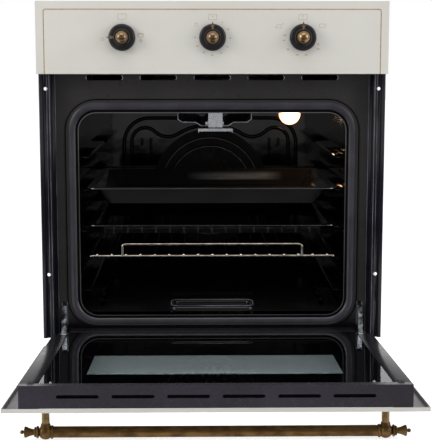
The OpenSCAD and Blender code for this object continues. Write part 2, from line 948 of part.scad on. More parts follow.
module blower_housing() {
  wall = 1.5;
  port_half = housing_half - 8;
  outlet_h = 28;
  inlet_d = 44;
  color([0.66, 0.67, 0.68])
    translate([0, blower_y, duct_z0])
      difference() {
        translate([-housing_half, -housing_d / 2, 0])
          cube([2 * housing_half, housing_d, housing_h]);
        translate([-housing_half + wall, -housing_d / 2 + wall, wall])
          cube([2 * (housing_half - wall), housing_d - 2 * wall, housing_h - 2 * wall]);
        // Outlet into the duct, and inlet in the top
        translate([-port_half, -housing_d / 2 - wall, 2 * wall])
          cube([2 * port_half, 4 * wall, outlet_h]);
        translate([-port_half, -inlet_d / 2, housing_h - 2 * wall])
          cube([2 * port_half, inlet_d, 4 * wall]);
        translate([0, 0, blower_z - duct_z0])
          rod_x(blower_shaft_r + run_gap, -2 * housing_half, 2 * housing_half);
      }
}

module blower_motor() {
  color([0.45, 0.46, 0.48])
    translate([0, blower_y, blower_z])
      difference() {
        rod_x(motor_r, housing_half, housing_half + blower_motor_l);
        rod_x(blower_shaft_r + run_gap, housing_half - 1, housing_half + blower_motor_l - 12);
      }
}

module blower_wheel() {
  half = housing_half - 8;
  wheel_r = 28;
  disc_t = 2;
  blades = 16;
  color([0.70, 0.71, 0.72])
    translate([0, blower_y, blower_z]) {
      rod_x(blower_shaft_r, -housing_half, housing_half + blower_motor_l - 15);
      for (x = [-half, -disc_t / 2, half - disc_t]) {
        rod_x(wheel_r, x, x + disc_t);
      }
      for (i = [0:blades - 1]) {
        rotate([360 * i / blades, 0, 0])
          translate([-half, wheel_r - 8, -0.6])
            cube([2 * half, 7, 1.2]);
      }
    }
}

module control_panel() {
  color([0.84, 0.82, 0.77])
    difference() {
      translate([-front_w / 2, face_y, panel_z])
        cube([front_w, panel_d, panel_h]);
      translate([-front_w / 2 + panel_skin, face_y + panel_skin, panel_z + panel_skin])
        cube([front_w - 2 * panel_skin, panel_d, panel_h - 2 * panel_skin]);
      for (x = [-1, 0, 1]) {
        translate([x * knob_pitch, 0, knob_z])
          rod_y(spindle_hole_r, face_y - 1, face_y + panel_skin + 1);
      }
    }
}

// Folded sheet behind the panel that carries the switch, the timer and the tap
module control_chassis() {
  chassis_half = column_half - column_lip - fit_gap;
  low = panel_z + 6;
  high = front_h - 12;
  color([0.60, 0.61, 0.62])
    difference() {
      union() {
        translate([-chassis_half, chassis_y, low])
          cube([2 * chassis_half, sheet, high - low]);
        for (z = [low, carcass_h - 6]) {
          translate([-chassis_half, chassis_y, z])
            cube([2 * chassis_half, frame_set, sheet]);
        }
        both_sides()
          translate([chassis_half - 30, face_y + panel_skin, panel_z + 20])
            cube([12, panel_d - panel_skin, 12]);
      }
      for (x = [-1, 0, 1]) {
        translate([x * knob_pitch, 0, knob_z])
          rod_y(spindle_hole_r, chassis_y - 1, chassis_y + sheet + 1);
      }
    }
}

// Bore for a turning spindle, open to the front
module spindle_bore(depth) {
  rod_y(spindle_r + run_gap, body_front_y - 1, body_front_y + depth);
}

module selector_switch() {
  color([0.82, 0.80, 0.74])
    translate([-knob_pitch, 0, knob_z])
      difference() {
        union() {
          rod_y(20, body_front_y, body_front_y + 14);
          translate([-22, body_front_y + 14, -20])
            cube([44, 34, 40]);
          for (i = [-2:2]) {
            translate([i * 8 - 1, body_front_y + 48, -14])
              cube([2, 8, 6]);
          }
        }
        spindle_bore(15);
      }
}

module timer_body() {
  color([0.80, 0.80, 0.80])
    translate([0, 0, knob_z])
      difference() {
        union() {
          rod_y(23, body_front_y, body_front_y + 30);
          rod_y(18, body_front_y + 30, body_front_y + 42);
        }
        spindle_bore(15);
      }
}

module thermostat_tap() {
  color([0.72, 0.60, 0.34])
    translate([knob_pitch, 0, knob_z])
      difference() {
        union() {
          translate([-16, body_front_y, -16])
            cube([32, 50, 32]);
          translate([-10, body_front_y + 50, -20])
            cube([20, 18, 34]);
          translate([0, port_y, 0])
            rod_x(pipe_r + 2, 0, port_reach + 6);
          translate([0, side_port_y, tap_out_z - knob_z])
            rod_x(pipe_r + 2, -port_reach - 4, 0);
        }
        rod_y(plug_r + run_gap, body_front_y - 1, body_front_y + plug_l + run_gap + 1);
        translate([0, port_y, 0])
          rod_x(pipe_r + port_gap, port_reach - 2, port_reach + 12);
        translate([0, side_port_y, tap_out_z - knob_z])
          rod_x(pipe_r + port_gap, -port_reach - 12, -port_reach + 4);
        rod_y(pipe_r + port_gap, rear_port_y - 2, rear_port_y + 18);
      }
}

// Turning plug of the tap, with a square socket for the knob's stem
module tap_plug() {
  socket_w = 2 * (spindle_r + stem_gap);
  color([0.75, 0.63, 0.36])
    translate([knob_pitch, 0, knob_z])
      difference() {
        rod_y(plug_r, body_front_y, body_front_y + plug_l);
        translate([-spindle_r - stem_gap, body_front_y - 1, -spindle_r - stem_gap])
          cube([socket_w, stem_l + push_travel + 3, socket_w]);
      }
}

module thermostat_bulb() {
  bulb_x = -175;
  color([0.72, 0.45, 0.30]) {
    translate([bulb_x, 0, ceiling_z - 8])
      rod_y(3, back_y - 130, back_y - 10);
    for (y = [back_y - 110, back_y - 30]) {
      translate([bulb_x - 2, y, ceiling_z - 6])
        cube([4, 3, 6 - fit_gap]);
    }
  }
}

module gas_inlet() {
  flange = rear_y - sheet;
  color([0.74, 0.62, 0.36])
    translate([inlet_x, 0, inlet_z])
      difference() {
        union() {
          rod_y(inlet_r, flange, rear_y + inlet_l);
          rod_y(inlet_collar_r, flange - 2, rear_y);
          translate([0, flange, 0])
            rotate([90, 0, 0])
              cylinder(h = 16, r = inlet_collar_r + 3, $fn = 6);
        }
        rod_y(pipe_r + port_gap, flange - 30, flange - 6);
        rod_y(7, flange + 2, rear_y + inlet_l + 1);
      }
}

// From the inlet forward along the top, then across into the tap
module supply_run() {
  start_y = rear_y - sheet - 8;
  translate([0, port_y, inlet_z])
    rod_x(pipe_r, knob_pitch + port_reach, inlet_x - pipe_bend);
  translate([inlet_x - pipe_bend, port_y + pipe_bend, inlet_z])
    rotate([0, 0, -90])
      quarter_bend();
  translate([inlet_x, 0, inlet_z])
    rod_y(pipe_r, port_y + pipe_bend, start_y);
}

// Quarter bend in the local XY plane, from +X to +Y
module quarter_bend() {
  rotate_extrude(angle = 90)
    translate([pipe_bend, 0])
      circle(pipe_r);
}

// From the tap to the rear, down behind the cavity and forward into a burner's end
module rear_drop(x, z_top, start_y, end_x, end_z) {
  b = pipe_bend;
  translate([x, 0, z_top])
    rod_y(pipe_r, start_y, drop_y - b);
  translate([x, drop_y - b, z_top - b])
    rotate([90, 0, 90])
      quarter_bend();
  translate([x, drop_y, end_z + b])
    cylinder(h = z_top - end_z - 2 * b, r = pipe_r);
  translate([x - b, drop_y, end_z + b])
    rotate([90, 0, 0])
      rotate([0, 0, -90])
        quarter_bend();
  translate([0, drop_y, end_z])
    rod_x(pipe_r, end_x + b, x - b);
  translate([end_x + b, drop_y - b, end_z])
    rotate([0, 0, 90])
      quarter_bend();
  translate([end_x, 0, end_z])
    rod_y(pipe_r, burner_end_y, drop_y - b);
}

// Three pipes: from the inlet to the tap, and from the tap to the floor and the grill burner
module gas_pipes() {
  grill_pipe_x = knob_pitch - 62;
  tap_side_x = knob_pitch - port_reach;
  color([0.70, 0.50, 0.36]) {
    supply_run();
    rear_drop(knob_pitch, knob_z, rear_port_y, 0, burner_z);
    translate([0, side_port_y, tap_out_z])
      rod_x(pipe_r, grill_pipe_x + pipe_bend, tap_side_x);
    translate([grill_pipe_x + pipe_bend, side_port_y + pipe_bend, tap_out_z])
      rotate([0, 0, 180])
        quarter_bend();
    rear_drop(grill_pipe_x, tap_out_z, side_port_y + pipe_bend, grill_x, grill_pipe_z);
  }
}

// Thermocouple and spark electrode, each on its clip beside the floor burner
module burner_probes() {
  probe_y = back_y - 90;
  color([0.80, 0.78, 0.72])
    both_sides()
      translate([burner_leg_x + burner_r + 6, probe_y, liner_z]) {
        translate([-4, -6, 0])
          cube([8, 12, 2]);
        translate([0, 0, 2])
          cylinder(h = burner_z - liner_z, r = 2.5);
        translate([0, 0, burner_z - liner_z + 2])
          cylinder(h = 6, r1 = 2.5, r2 = 1);
      }
}

module terminal_block() {
  color([0.20, 0.20, 0.22])
    translate([gland_x - 20, rear_y - sheet - 34, inlet_z - 60])
      difference() {
        cube([50, 34, 26]);
        for (i = [0:3]) {
          translate([8 + 11.3 * i, 6, 18])
            cylinder(h = 20, r = 3);
        }
      }
}

module cable_gland() {
  color([0.12, 0.12, 0.13])
    translate([gland_x, 0, inlet_z])
      difference() {
        union() {
          rod_y(gland_r, rear_y - sheet - 10, rear_y + 4);
          translate([0, rear_y + 12, 0])
            rotate([90, 0, 0])
              cylinder(h = 12, r = 12, $fn = 6);
          translate([0, rear_y - sheet, 0])
            rotate([90, 0, 0])
              cylinder(h = 5, r = 12, $fn = 6);
        }
        rod_y(5, rear_y - 30, rear_y + 30);
      }
}

// Fixed arms: an eye round the hinge pin and a hook through the front frame
module hinge_claws() {
  axis_y = face_y + hinge_in;
  back = frame_y - axis_y;
  color([0.75, 0.75, 0.76])
    both_sides()
      translate([hinge_x - claw_t / 2, axis_y, hinge_z])
        rotate([90, 0, 90])
          linear_extrude(claw_t)
            difference() {
              union() {
                circle(8);
                polygon([[-8, 0], [8, 0], [back - 3, claw_low], [back + 14, claw_low],
                  [back + 14, claw_high], [back - 7, claw_high]]);
              }
              circle(pin_r + run_gap);
            }
}

module hinge_receivers() {
  wall = 8;
  low = hinge_z + claw_low - claw_slot_gap;
  high = hinge_z + claw_high + claw_slot_gap;
  color([0.62, 0.62, 0.64])
    both_sides()
      translate([hinge_x, 0, 0])
        difference() {
          translate([-7.5, frame_y + sheet, low - wall])
            cube([15, 28, high - low + 2 * wall]);
          translate([-claw_t / 2 - fit_gap, frame_y, low])
            cube([claw_t + 2 * fit_gap, 26, high - low]);
        }
}

module door_skin() {
  color([0.84, 0.82, 0.77])
    swung()
      difference() {
        translate([-front_w / 2, face_y, door_foot])
          cube([front_w, skin_rim, door_h]);
        translate([-front_w / 2 + panel_skin, face_y + panel_skin, door_foot + panel_skin])
          cube([front_w - 2 * panel_skin, skin_rim, door_h - 2 * panel_skin]);
        translate([0, 0, window_mid_z])
          upright(face_y - 1, panel_skin + 2)
            round_rect(window_w, window_h, 6);
        for (x = [-1, 1]) {
          translate([x * post_x, 0, handle_z])
            rod_y(2.2, face_y - 1, face_y + panel_skin + 1);
        }
      }
}

module door_channels() {
  inner = half_body - strip_w;
  skin_y = face_y + panel_skin;
  back = face_y + door_t;
  color([0.24, 0.23, 0.25])
    swung()
      both_sides()
        translate([0, 0, channel_z0])
          linear_extrude(door_z1 - top_flange - channel_z0)
            union() {
              translate([half_body - sheet, skin_y])
                square([sheet, door_t - panel_skin]);
              translate([inner, back - sheet])
                square([strip_w, sheet]);
              translate([inner - 10, skin_y])
                square([strip_w + 10, sheet]);
              translate([inner, back - glass_t - sheet])
                square([sheet, glass_t + sheet]);
              translate([inner - 6, back - glass_t - sheet])
                square([6 + sheet, sheet]);
            }
}

module door_top_bar() {
  skin_y = face_y + panel_skin;
  back = face_y + door_t;
  bar_z = door_z1 - top_flange;
  slot_pitch = 76.8;
  slot_w = 59;
  color([0.24, 0.23, 0.25])
    swung()
      difference() {
        union() {
          translate([-half_body, skin_y, door_z1 - panel_skin - sheet])
            cube([door_body_w, door_t - panel_skin, sheet]);
          translate([-half_body, back - sheet, bar_z])
            cube([door_body_w, sheet, top_flange - panel_skin]);
          translate([-half_body, skin_y, bar_z])
            cube([door_body_w, sheet, top_flange - panel_skin]);
          both_sides()
            translate([half_body - sheet, skin_y, bar_z])
              cube([sheet, door_t - panel_skin, top_flange - panel_skin]);
        }
        translate([0, face_y + 22.3, 0])
          translate([0, 0, door_z1 - 10])
            linear_extrude(20)
              slot_row(6, slot_pitch, slot_w, 5);
      }
}

module door_bottom_channel() {
  skin_y = face_y + panel_skin;
  back = face_y + door_t;
  inner = half_body - strip_w;
  color([0.24, 0.23, 0.25])
    swung()
      translate([-inner, 0, 0])
        rotate([90, 0, 90])
          linear_extrude(2 * inner) {
            translate([skin_y, channel_foot])
              square([sheet, channel_h]);
            translate([skin_y, channel_foot])
              square([door_t - panel_skin, sheet]);
            translate([back - sheet, channel_foot])
              square([sheet, glass_foot + 2 - channel_foot]);
            translate([back - glass_t - sheet, glass_foot])
              square([sheet, channel_z0 - glass_foot]);
            translate([back - glass_t - sheet, glass_foot])
              square([glass_t + sheet, sheet]);
          }
}

module window_glass() {
  color([0.35, 0.40, 0.40, 0.5])
    swung()
      translate([0, 0, window_mid_z])
        upright(face_y + panel_skin, glass_t)
          round_rect(window_w + 2 * window_lap, window_h + 2 * window_lap, 4);
}

module inner_glass() {
  back = face_y + door_t;
  low = glass_foot + 2 * sheet;
  high = door_z1 - top_flange - fit_gap;
  color([0.10, 0.11, 0.12, 0.6])
    swung()
      translate([-glass_w / 2 + fit_gap, back - glass_t, low])
        cube([glass_w - 2 * fit_gap, glass_t, high - low]);
}

module door_buffers() {
  color([0.05, 0.05, 0.05])
    swung()
      both_sides()
        translate([half_body - strip_w / 2 - 1, face_y + door_t, door_z1 - 22.5])
          rotate([-90, 0, 0])
            cylinder(h = 2.6, r1 = 6, r2 = 4.6);
}

module hinge_forks() {
  axis_y = face_y + hinge_in;
  arm_l = 118;
  seat_l = 52;
  half_w = 7;
  out = claw_t / 2 + fork_gap;
  color([0.70, 0.70, 0.71])
    swung()
      both_sides()
        for (x = [hinge_x - out - fork_t, hinge_x + out]) {
          translate([x, axis_y, hinge_z])
            rotate([90, 0, 90])
              linear_extrude(fork_t)
                difference() {
                  union() {
                    circle(half_w);
                    translate([-half_w, 0])
                      square([2 * half_w, arm_l]);
                    translate([panel_skin + sheet - hinge_in, arm_l - seat_l])
                      square([hinge_in - panel_skin - sheet, seat_l]);
                  }
                  circle(pin_r);
                }
        }
}

module hinge_pins() {
  reach = claw_t / 2 + fork_gap + fork_t;
  color([0.65, 0.65, 0.66])
    swung()
      both_sides()
        translate([hinge_x, face_y + hinge_in, hinge_z])
          rod_x(pin_r, -reach, reach);
}

module handle_posts() {
  color([0.62, 0.50, 0.32])
    swung()
      both_sides()
        translate([post_x, 0, handle_z])
          difference() {
            rod_y(post_r, handle_y + post_seat, face_y);
            rod_y(2, face_y - 12, face_y + 1);
          }
}

module handle_bar() {
  color([0.45, 0.34, 0.16])
    swung()
      translate([0, handle_y, handle_z])
        rod_x(bar_r, -post_x + bar_seat, post_x - bar_seat);
}

// Half of a disc, on the positive side of the Y axis
module half_disc(r) {
  intersection() {
    circle(r);
    translate([0, -r])
      square([r, 2 * r]);
  }
}

// Turned ends: collar, ball, two rings, a flaring cone, a neck and a small tip ball
module handle_ends() {
  collar_r = bar_r + 1.6;
  ring_r = 8.7;
  cone_start = ball_r + 6.4;
  cone_end = cone_start + 12.4;
  tip_r = 2.9;
  tip_x = cone_end + 4.2;
  color([0.42, 0.33, 0.18])
    swung()
      both_sides()
        translate([post_x, handle_y, handle_z])
          difference() {
            union() {
              rotate([0, 90, 0])
                rotate_extrude() {
                  half_disc(ball_r);
                  polygon([[0, -ball_r], [collar_r - 0.6, -ball_r], [collar_r, -ball_r + 0.8],
                    [collar_r, -ball_r + 2.4], [collar_r - 0.8, -ball_r + 3.2], [0, -ball_r + 3.2]]);
                  polygon([[0, 0], [5, 0], [5, cone_start - 1], [4.2, cone_start], [5.4, cone_start + 5],
                    [8, cone_end - 1.2], [8, cone_end], [6.4, cone_end + 0.8], [2, cone_end + 1],
                    [1.6, tip_x - 2], [0, tip_x - 2]]);
                  translate([ring_r - 1.7, ball_r + 0.9])
                    circle(1.7);
                  translate([ring_r - 2.9, ball_r + 4.2])
                    circle(1.4);
                  translate([0, tip_x])
                    half_disc(tip_r);
                }
              // Flare where the post runs into the ball
              rotate([-90, 0, 0])
                cylinder(h = ball_r + 1.6, r1 = ball_r - 1.5, r2 = post_r + 0.9);
            }
            rod_y(post_r + 0.02, post_seat, 2 * ball_r);
            rod_x(bar_r + 0.02, -2 * ball_r, -bar_seat);
          }
}

module knob_skirt(x) {
  translate([x, knob_face_y, knob_z])
    rotate([90, 0, 0])
      rotate_extrude()
        polygon([[0, 0], [skirt_r, 0], [skirt_r, skirt_h - 4], [skirt_r - 1.2, skirt_h - 1.4],
          [skirt_r - 3.2, skirt_h], [0, skirt_h]]);
}

// Brass cap: thin ring, groove, dome and a spear pointer that aims along +Z
module knob_cap(x, aim) {
  base_t = 0.8;
  ring_h = 2.4;
  neck_h = 5;
  translate([x, knob_face_y - skirt_h, knob_z])
    rotate([90, 0, 0])
      rotate([0, 0, aim]) {
        rotate_extrude() {
          polygon([[0, 0], [ring_r, 0], [ring_r, ring_h - 0.5], [ring_r - 0.5, ring_h],
            [ring_r - 1, ring_h - 0.5], [ring_r - 1, base_t], [dome_r - 0.6, base_t],
            [dome_r, neck_h], [0, neck_h]]);
          translate([0, neck_h])
            intersection() {
              circle(dome_r);
              square([dome_r, dome_r]);
            }
        }
        linear_extrude(ring_h)
          polygon([[-2, ring_r - 1], [2, ring_r - 1], [1.5, 15.8], [2.8, 17.4], [2.8, 19.4],
            [1.2, 21], [2, 22.4], [0.8, 23.6], [0, pointer_reach], [-0.8, 23.6], [-2, 22.4],
            [-1.2, 21], [-2.8, 19.4], [-2.8, 17.4], [-1.5, 15.8]]);
      }
}

// Stem from the knob's back to the part it turns
module knob_stem(x) {
  translate([x, 0, knob_z])
    rod_y(spindle_r, knob_face_y, body_front_y + 14);
}

module selector_skirt() {
  color([0.16, 0.16, 0.17]) {
    knob_skirt(-knob_pitch);
    knob_stem(-knob_pitch);
  }
}

module selector_cap() {
  color([0.52, 0.42, 0.24])
    knob_cap(-knob_pitch, 90);
}

module timer_skirt() {
  color([0.16, 0.16, 0.17]) {
    knob_skirt(0);
    knob_stem(0);
  }
}

module timer_cap() {
  color([0.52, 0.42, 0.24])
    knob_cap(0, 0);
}

module thermostat_skirt() {
  color([0.16, 0.16, 0.17]) {
    knob_skirt(knob_pitch);
    translate([knob_pitch - spindle_r, knob_face_y, knob_z - spindle_r])
      cube([2 * spindle_r, body_front_y + stem_l - knob_face_y, 2 * spindle_r]);
  }
}

module thermostat_cap() {
  color([0.52, 0.42, 0.24])
    knob_cap(knob_pitch, 0);
}

// Tray with a flat rim that lies on a ledge, sloping walls and a flat bottom
module tray(ledge, depth, slope) {
  t = 1;
  low_r = 10;
  top_r = low_r + slope;
  inner_w = tray_w - 2 * rim_w;
  inner_d = tray_d - 2 * rim_w;
  translate([0, tray_y, ledge + fit_gap]) {
    linear_extrude(t)
      difference() {
        round_rect(tray_w, tray_d, 14);
        round_rect(inner_w - 0.6, inner_d - 0.6, top_r);
      }
    sweep_round(inner_w, inner_d, top_r)
      polygon([[0, t], [0, 0], [-slope, t - depth], [-slope - 1.2, t - depth], [-slope - 1.2, 2 * t - depth],
        [-1.2, t]]);
    translate([0, 0, t - depth])
      linear_extrude(t)
        round_rect(inner_w - 2 * slope - 1, inner_d - 2 * slope - 1, low_r);
  }
}

module deep_tray() {
  color([0.12, 0.12, 0.13])
    tray(ledge_z[3], deep_h, 24);
}

module shallow_tray() {
  color([0.12, 0.12, 0.13])
    tray(ledge_z[2], shallow_h, 10);
}

module wire_rack() {
  r = rack_wire / 2;
  half_w = tray_w / 2 - r;
  half_d = tray_d / 2 - r;
  corner = 6;
  stay_in = 70;
  guard_half = half_w - 59.5;
  guard_h = 21;
  guard_r = 2;
  pitch = 2 * (half_w - bar_margin) / (rack_bars - 1);
  color([0.75, 0.75, 0.74])
    translate([0, tray_y, ledge_z[1] + fit_gap + r]) {
      sweep_round(2 * half_w, 2 * half_d, corner)
        circle(r);
      translate([0, half_d - stay_in, 0])
        rod_x(r - 0.3, -half_w, half_w);
      for (i = [0:rack_bars - 1]) {
        translate([(i - (rack_bars - 1) / 2) * pitch, 0, r])
          rod_y(rack_bar / 2, -half_d - 1, half_d + 1);
      }
      // Guard bar that stands up along the front
      translate([0, -half_d, 0]) {
        both_sides()
          translate([guard_half, 0, 0])
            cylinder(h = guard_h - 6, r = guard_r);
        both_sides()
          translate([guard_half - 6, 0, guard_h - 6])
            rotate([90, 0, 0])
              rotate_extrude(angle = 90)
                translate([6, 0])
                  circle(guard_r);
        translate([0, 0, guard_h])
          rod_x(guard_r, -guard_half + 6, guard_half - 6);
      }
    }
}

carcass_shell();
base_pan();
rear_cover();
front_frame();
side_columns();
cavity_liner();
runner_ledges();
insulation();
door_seal();
floor_plate();
floor_burner();
grill_reflector();
grill_burner();
grill_bracket();
lamp_holder();
lamp_bulb();
lamp_glass();
fan_cover();
fan_pot();
fan_motor();
air_duct();
blower_housing();
blower_motor();
control_panel();
control_chassis();
selector_switch();
timer_body();
thermostat_tap();
thermostat_bulb();
gas_inlet();
gas_pipes();
burner_probes();
terminal_block();
cable_gland();
hinge_claws();
hinge_receivers();
door_skin();
door_channels();
door_top_bar();
door_bottom_channel();
window_glass();
inner_glass();
door_buffers();
hinge_forks();
hinge_pins();
handle_posts();
handle_bar();
handle_ends();
selector_skirt();
selector_cap();
timer_skirt();
timer_cap();
thermostat_skirt();
thermostat_cap();
tap_plug();
deep_tray();
shallow_tray();
wire_rack();
convection_fan();
blower_wheel();
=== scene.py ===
"""A built-in gas oven with its door down: the finish of every surface and the fine pieces."""

import json
import math

import bmesh
import bpy
from mathutils import Matrix, Vector

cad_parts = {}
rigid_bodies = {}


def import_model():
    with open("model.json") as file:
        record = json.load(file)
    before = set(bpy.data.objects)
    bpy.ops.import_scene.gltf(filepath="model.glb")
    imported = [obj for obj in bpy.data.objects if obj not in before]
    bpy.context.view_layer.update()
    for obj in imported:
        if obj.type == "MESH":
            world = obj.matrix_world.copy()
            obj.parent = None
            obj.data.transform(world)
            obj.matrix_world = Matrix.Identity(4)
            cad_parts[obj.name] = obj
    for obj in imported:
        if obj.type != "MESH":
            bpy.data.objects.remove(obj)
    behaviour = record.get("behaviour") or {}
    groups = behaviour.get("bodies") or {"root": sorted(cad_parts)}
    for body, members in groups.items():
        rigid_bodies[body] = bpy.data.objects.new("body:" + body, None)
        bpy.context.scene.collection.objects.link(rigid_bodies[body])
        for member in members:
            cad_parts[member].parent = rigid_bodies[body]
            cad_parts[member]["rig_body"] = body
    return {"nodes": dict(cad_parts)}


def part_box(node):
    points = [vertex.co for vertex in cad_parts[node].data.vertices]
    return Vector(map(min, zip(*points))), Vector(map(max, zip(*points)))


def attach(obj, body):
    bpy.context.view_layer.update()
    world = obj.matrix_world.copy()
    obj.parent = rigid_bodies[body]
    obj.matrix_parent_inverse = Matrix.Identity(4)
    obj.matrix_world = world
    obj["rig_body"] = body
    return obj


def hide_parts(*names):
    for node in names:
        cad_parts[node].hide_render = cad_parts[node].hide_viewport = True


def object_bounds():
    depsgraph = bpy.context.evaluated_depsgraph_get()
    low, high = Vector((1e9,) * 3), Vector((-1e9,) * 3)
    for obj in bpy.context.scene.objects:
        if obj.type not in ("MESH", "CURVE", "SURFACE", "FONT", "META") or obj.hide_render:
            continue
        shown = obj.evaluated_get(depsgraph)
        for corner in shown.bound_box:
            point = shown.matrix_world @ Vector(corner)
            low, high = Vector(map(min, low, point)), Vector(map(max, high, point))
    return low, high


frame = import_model()
cad_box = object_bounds()
scene = bpy.context.scene
nodes = frame["nodes"]
MM = 0.001


# Camera, at the photograph's viewing angle

PHOTO_LONG_SIDE = 440
FOCAL_PIXELS = 1182.66
SENSOR = 36
CAMERA_AT = (-0.0237, -2.3154, 0.5062)
LOOKS_DOWN = 7.97
LOOKS_RIGHT = 0.84


def make_camera():
    data = bpy.data.cameras.new("camera")
    data.sensor_width = SENSOR
    data.lens = FOCAL_PIXELS / PHOTO_LONG_SIDE * SENSOR
    camera = bpy.data.objects.new("camera", data)
    scene.collection.objects.link(camera)
    camera.location = CAMERA_AT
    camera.rotation_euler = (math.radians(90 - LOOKS_DOWN), 0, math.radians(-LOOKS_RIGHT))
    scene.camera = camera


make_camera()
scene.view_settings.view_transform = "Standard"


# Node helpers; an owner is a material or the world

COLOUR_A, COLOUR_B = 6, 7
COLOUR_RESULT = 2


def srgb(red, green, blue):
    """Linear colour from the 0 to 255 values of a painter's swatch."""
    levels = [c / 255 for c in (red, green, blue)]
    return tuple(c / 12.92 if c <= 0.04045 else ((c + 0.055) / 1.055) ** 2.4 for c in levels)


def add(tree, kind, inputs=None, **settings):
    made = tree.nodes.new(kind)
    for name, value in settings.items():
        setattr(made, name, value)
    for name, value in (inputs or {}).items():
        made.inputs[name].default_value = value
    return made


def new_finish(name, colour, roughness, **inputs):
    """A material whose Principled shader has these plain values."""
    finish = bpy.data.materials.new(name)
    finish.use_nodes = True
    shader = finish.node_tree.nodes["Principled BSDF"]
    shader.inputs["Base Color"].default_value = (*colour, 1)
    shader.inputs["Roughness"].default_value = roughness
    for key, value in inputs.items():
        shader.inputs[key.replace("_", " ")].default_value = value
    return finish


def place(finish, stretch):
    """Object coordinates, drawn out or squeezed along the axes."""
    tree = finish.node_tree
    point = add(tree, "ShaderNodeTexCoord")
    mapping = add(tree, "ShaderNodeMapping", {"Scale": stretch})
    tree.links.new(point.outputs["Object"], mapping.inputs["Vector"])
    return mapping.outputs["Vector"]


def noise(finish, scale, detail=3, stretch=(1, 1, 1)):
    tree = finish.node_tree
    cloud = add(tree, "ShaderNodeTexNoise", {"Scale": scale, "Detail": detail})
    tree.links.new(place(finish, stretch), cloud.inputs["Vector"])
    return cloud.outputs["Fac"]


def cells(finish, scale, stretch=(1, 1, 1)):
    tree = finish.node_tree
    cell = add(tree, "ShaderNodeTexVoronoi", {"Scale": scale})
    tree.links.new(place(finish, stretch), cell.inputs["Vector"])
    return cell.outputs["Distance"]


def along_axis(owner, axis, space="Object"):
    """One coordinate of the point in this space, or of its normal."""
    tree = owner.node_tree
    point = add(tree, "ShaderNodeTexCoord")
    split = add(tree, "ShaderNodeSeparateXYZ")
    tree.links.new(point.outputs[space], split.inputs[0])
    return split.outputs[axis]


def reckon(owner, operation, first, second=0):
    """The result of a sum on two values, each of them a number or a node's output."""
    tree = owner.node_tree
    made = add(tree, "ShaderNodeMath", operation=operation)
    for socket, value in zip(made.inputs, (first, second)):
        if isinstance(value, bpy.types.NodeSocket):
            tree.links.new(value, socket)
        else:
            socket.default_value = value
    return made.outputs[0]


def spread(finish, source, low, high, start=0.35, end=0.65):
    """Colours from low to high as the source goes from start to end."""
    ramp = add(finish.node_tree, "ShaderNodeValToRGB")
    first, last = ramp.color_ramp.elements
    first.position, first.color = start, (*low, 1)
    last.position, last.color = end, (*high, 1)
    finish.node_tree.links.new(source, ramp.inputs["Fac"])
    return ramp.outputs["Color"]


def level(owner, source, low, high, start=0.3, end=0.7):
    """A number from low to high as the source goes from start to end."""
    limits = {"From Min": start, "From Max": end, "To Min": low, "To Max": high}
    ranged = add(owner.node_tree, "ShaderNodeMapRange", limits)
    owner.node_tree.links.new(source, ranged.inputs["Value"])
    return ranged.outputs["Result"]


def within(owner, share, *bounds):
    """The share, taken down to nothing where a coordinate passes one of its bounds."""
    for way, low, high, limits in bounds:
        share = reckon(owner, "MULTIPLY", share, level(owner, way, low, high, *limits))
    return share


def feed(finish, source, socket):
    finish.node_tree.links.new(source, finish.node_tree.nodes["Principled BSDF"].inputs[socket])


def paint(finish, source, low, high, *limits):
    """Base colours from low to high by the source."""
    feed(finish, spread(finish, source, low, high, *limits), "Base Color")


def roughen(finish, source, low, high, *limits):
    """Roughness from low to high by the source."""
    feed(finish, level(finish, source, low, high, *limits), "Roughness")


def recolour(finish, share, colour):
    """Goes over from the base colour so far to another one, by the share."""
    tree = finish.node_tree
    base = tree.nodes["Principled BSDF"].inputs["Base Color"]
    mix = add(tree, "ShaderNodeMix", data_type="RGBA")
    tree.links.new(share, mix.inputs["Factor"])
    tree.links.new(base.links[0].from_socket, mix.inputs[COLOUR_A])
    mix.inputs[COLOUR_B].default_value = (*colour, 1)
    tree.links.new(mix.outputs[COLOUR_RESULT], base)


def emboss(finish, source, strength, depth):
    """Bump of a depth in metres, laid over any that the finish already has."""
    tree = finish.node_tree
    normal = tree.nodes["Principled BSDF"].inputs["Normal"]
    bump = add(tree, "ShaderNodeBump", {"Strength": strength, "Distance": depth})
    tree.links.new(source, bump.inputs["Height"])
    if normal.is_linked:
        tree.links.new(normal.links[0].from_socket, bump.inputs["Normal"])
    tree.links.new(bump.outputs["Normal"], normal)


def blend(owner, share, first, second):
    """A shader that goes over from the first to the second by the share."""
    tree = owner.node_tree
    mix = add(tree, "ShaderNodeMixShader")
    for socket, source in zip(mix.inputs, (share, first, second)):
        tree.links.new(source, socket)
    return mix.outputs[0]


def let_light_through(finish, portion=1.0, colour=(1, 1, 1)):
    """Makes this portion of the surface clear to shadow rays."""
    tree = finish.node_tree
    path = add(tree, "ShaderNodeLightPath")
    share = reckon(finish, "MULTIPLY", path.outputs["Is Shadow Ray"], portion)
    clear = add(tree, "ShaderNodeBsdfTransparent", {"Color": (*colour, 1)})
    solid = tree.nodes["Principled BSDF"].outputs[0]
    seen = blend(finish, share, solid, clear.outputs[0])
    tree.links.new(seen, tree.nodes["Material Output"].inputs["Surface"])


# Finishes

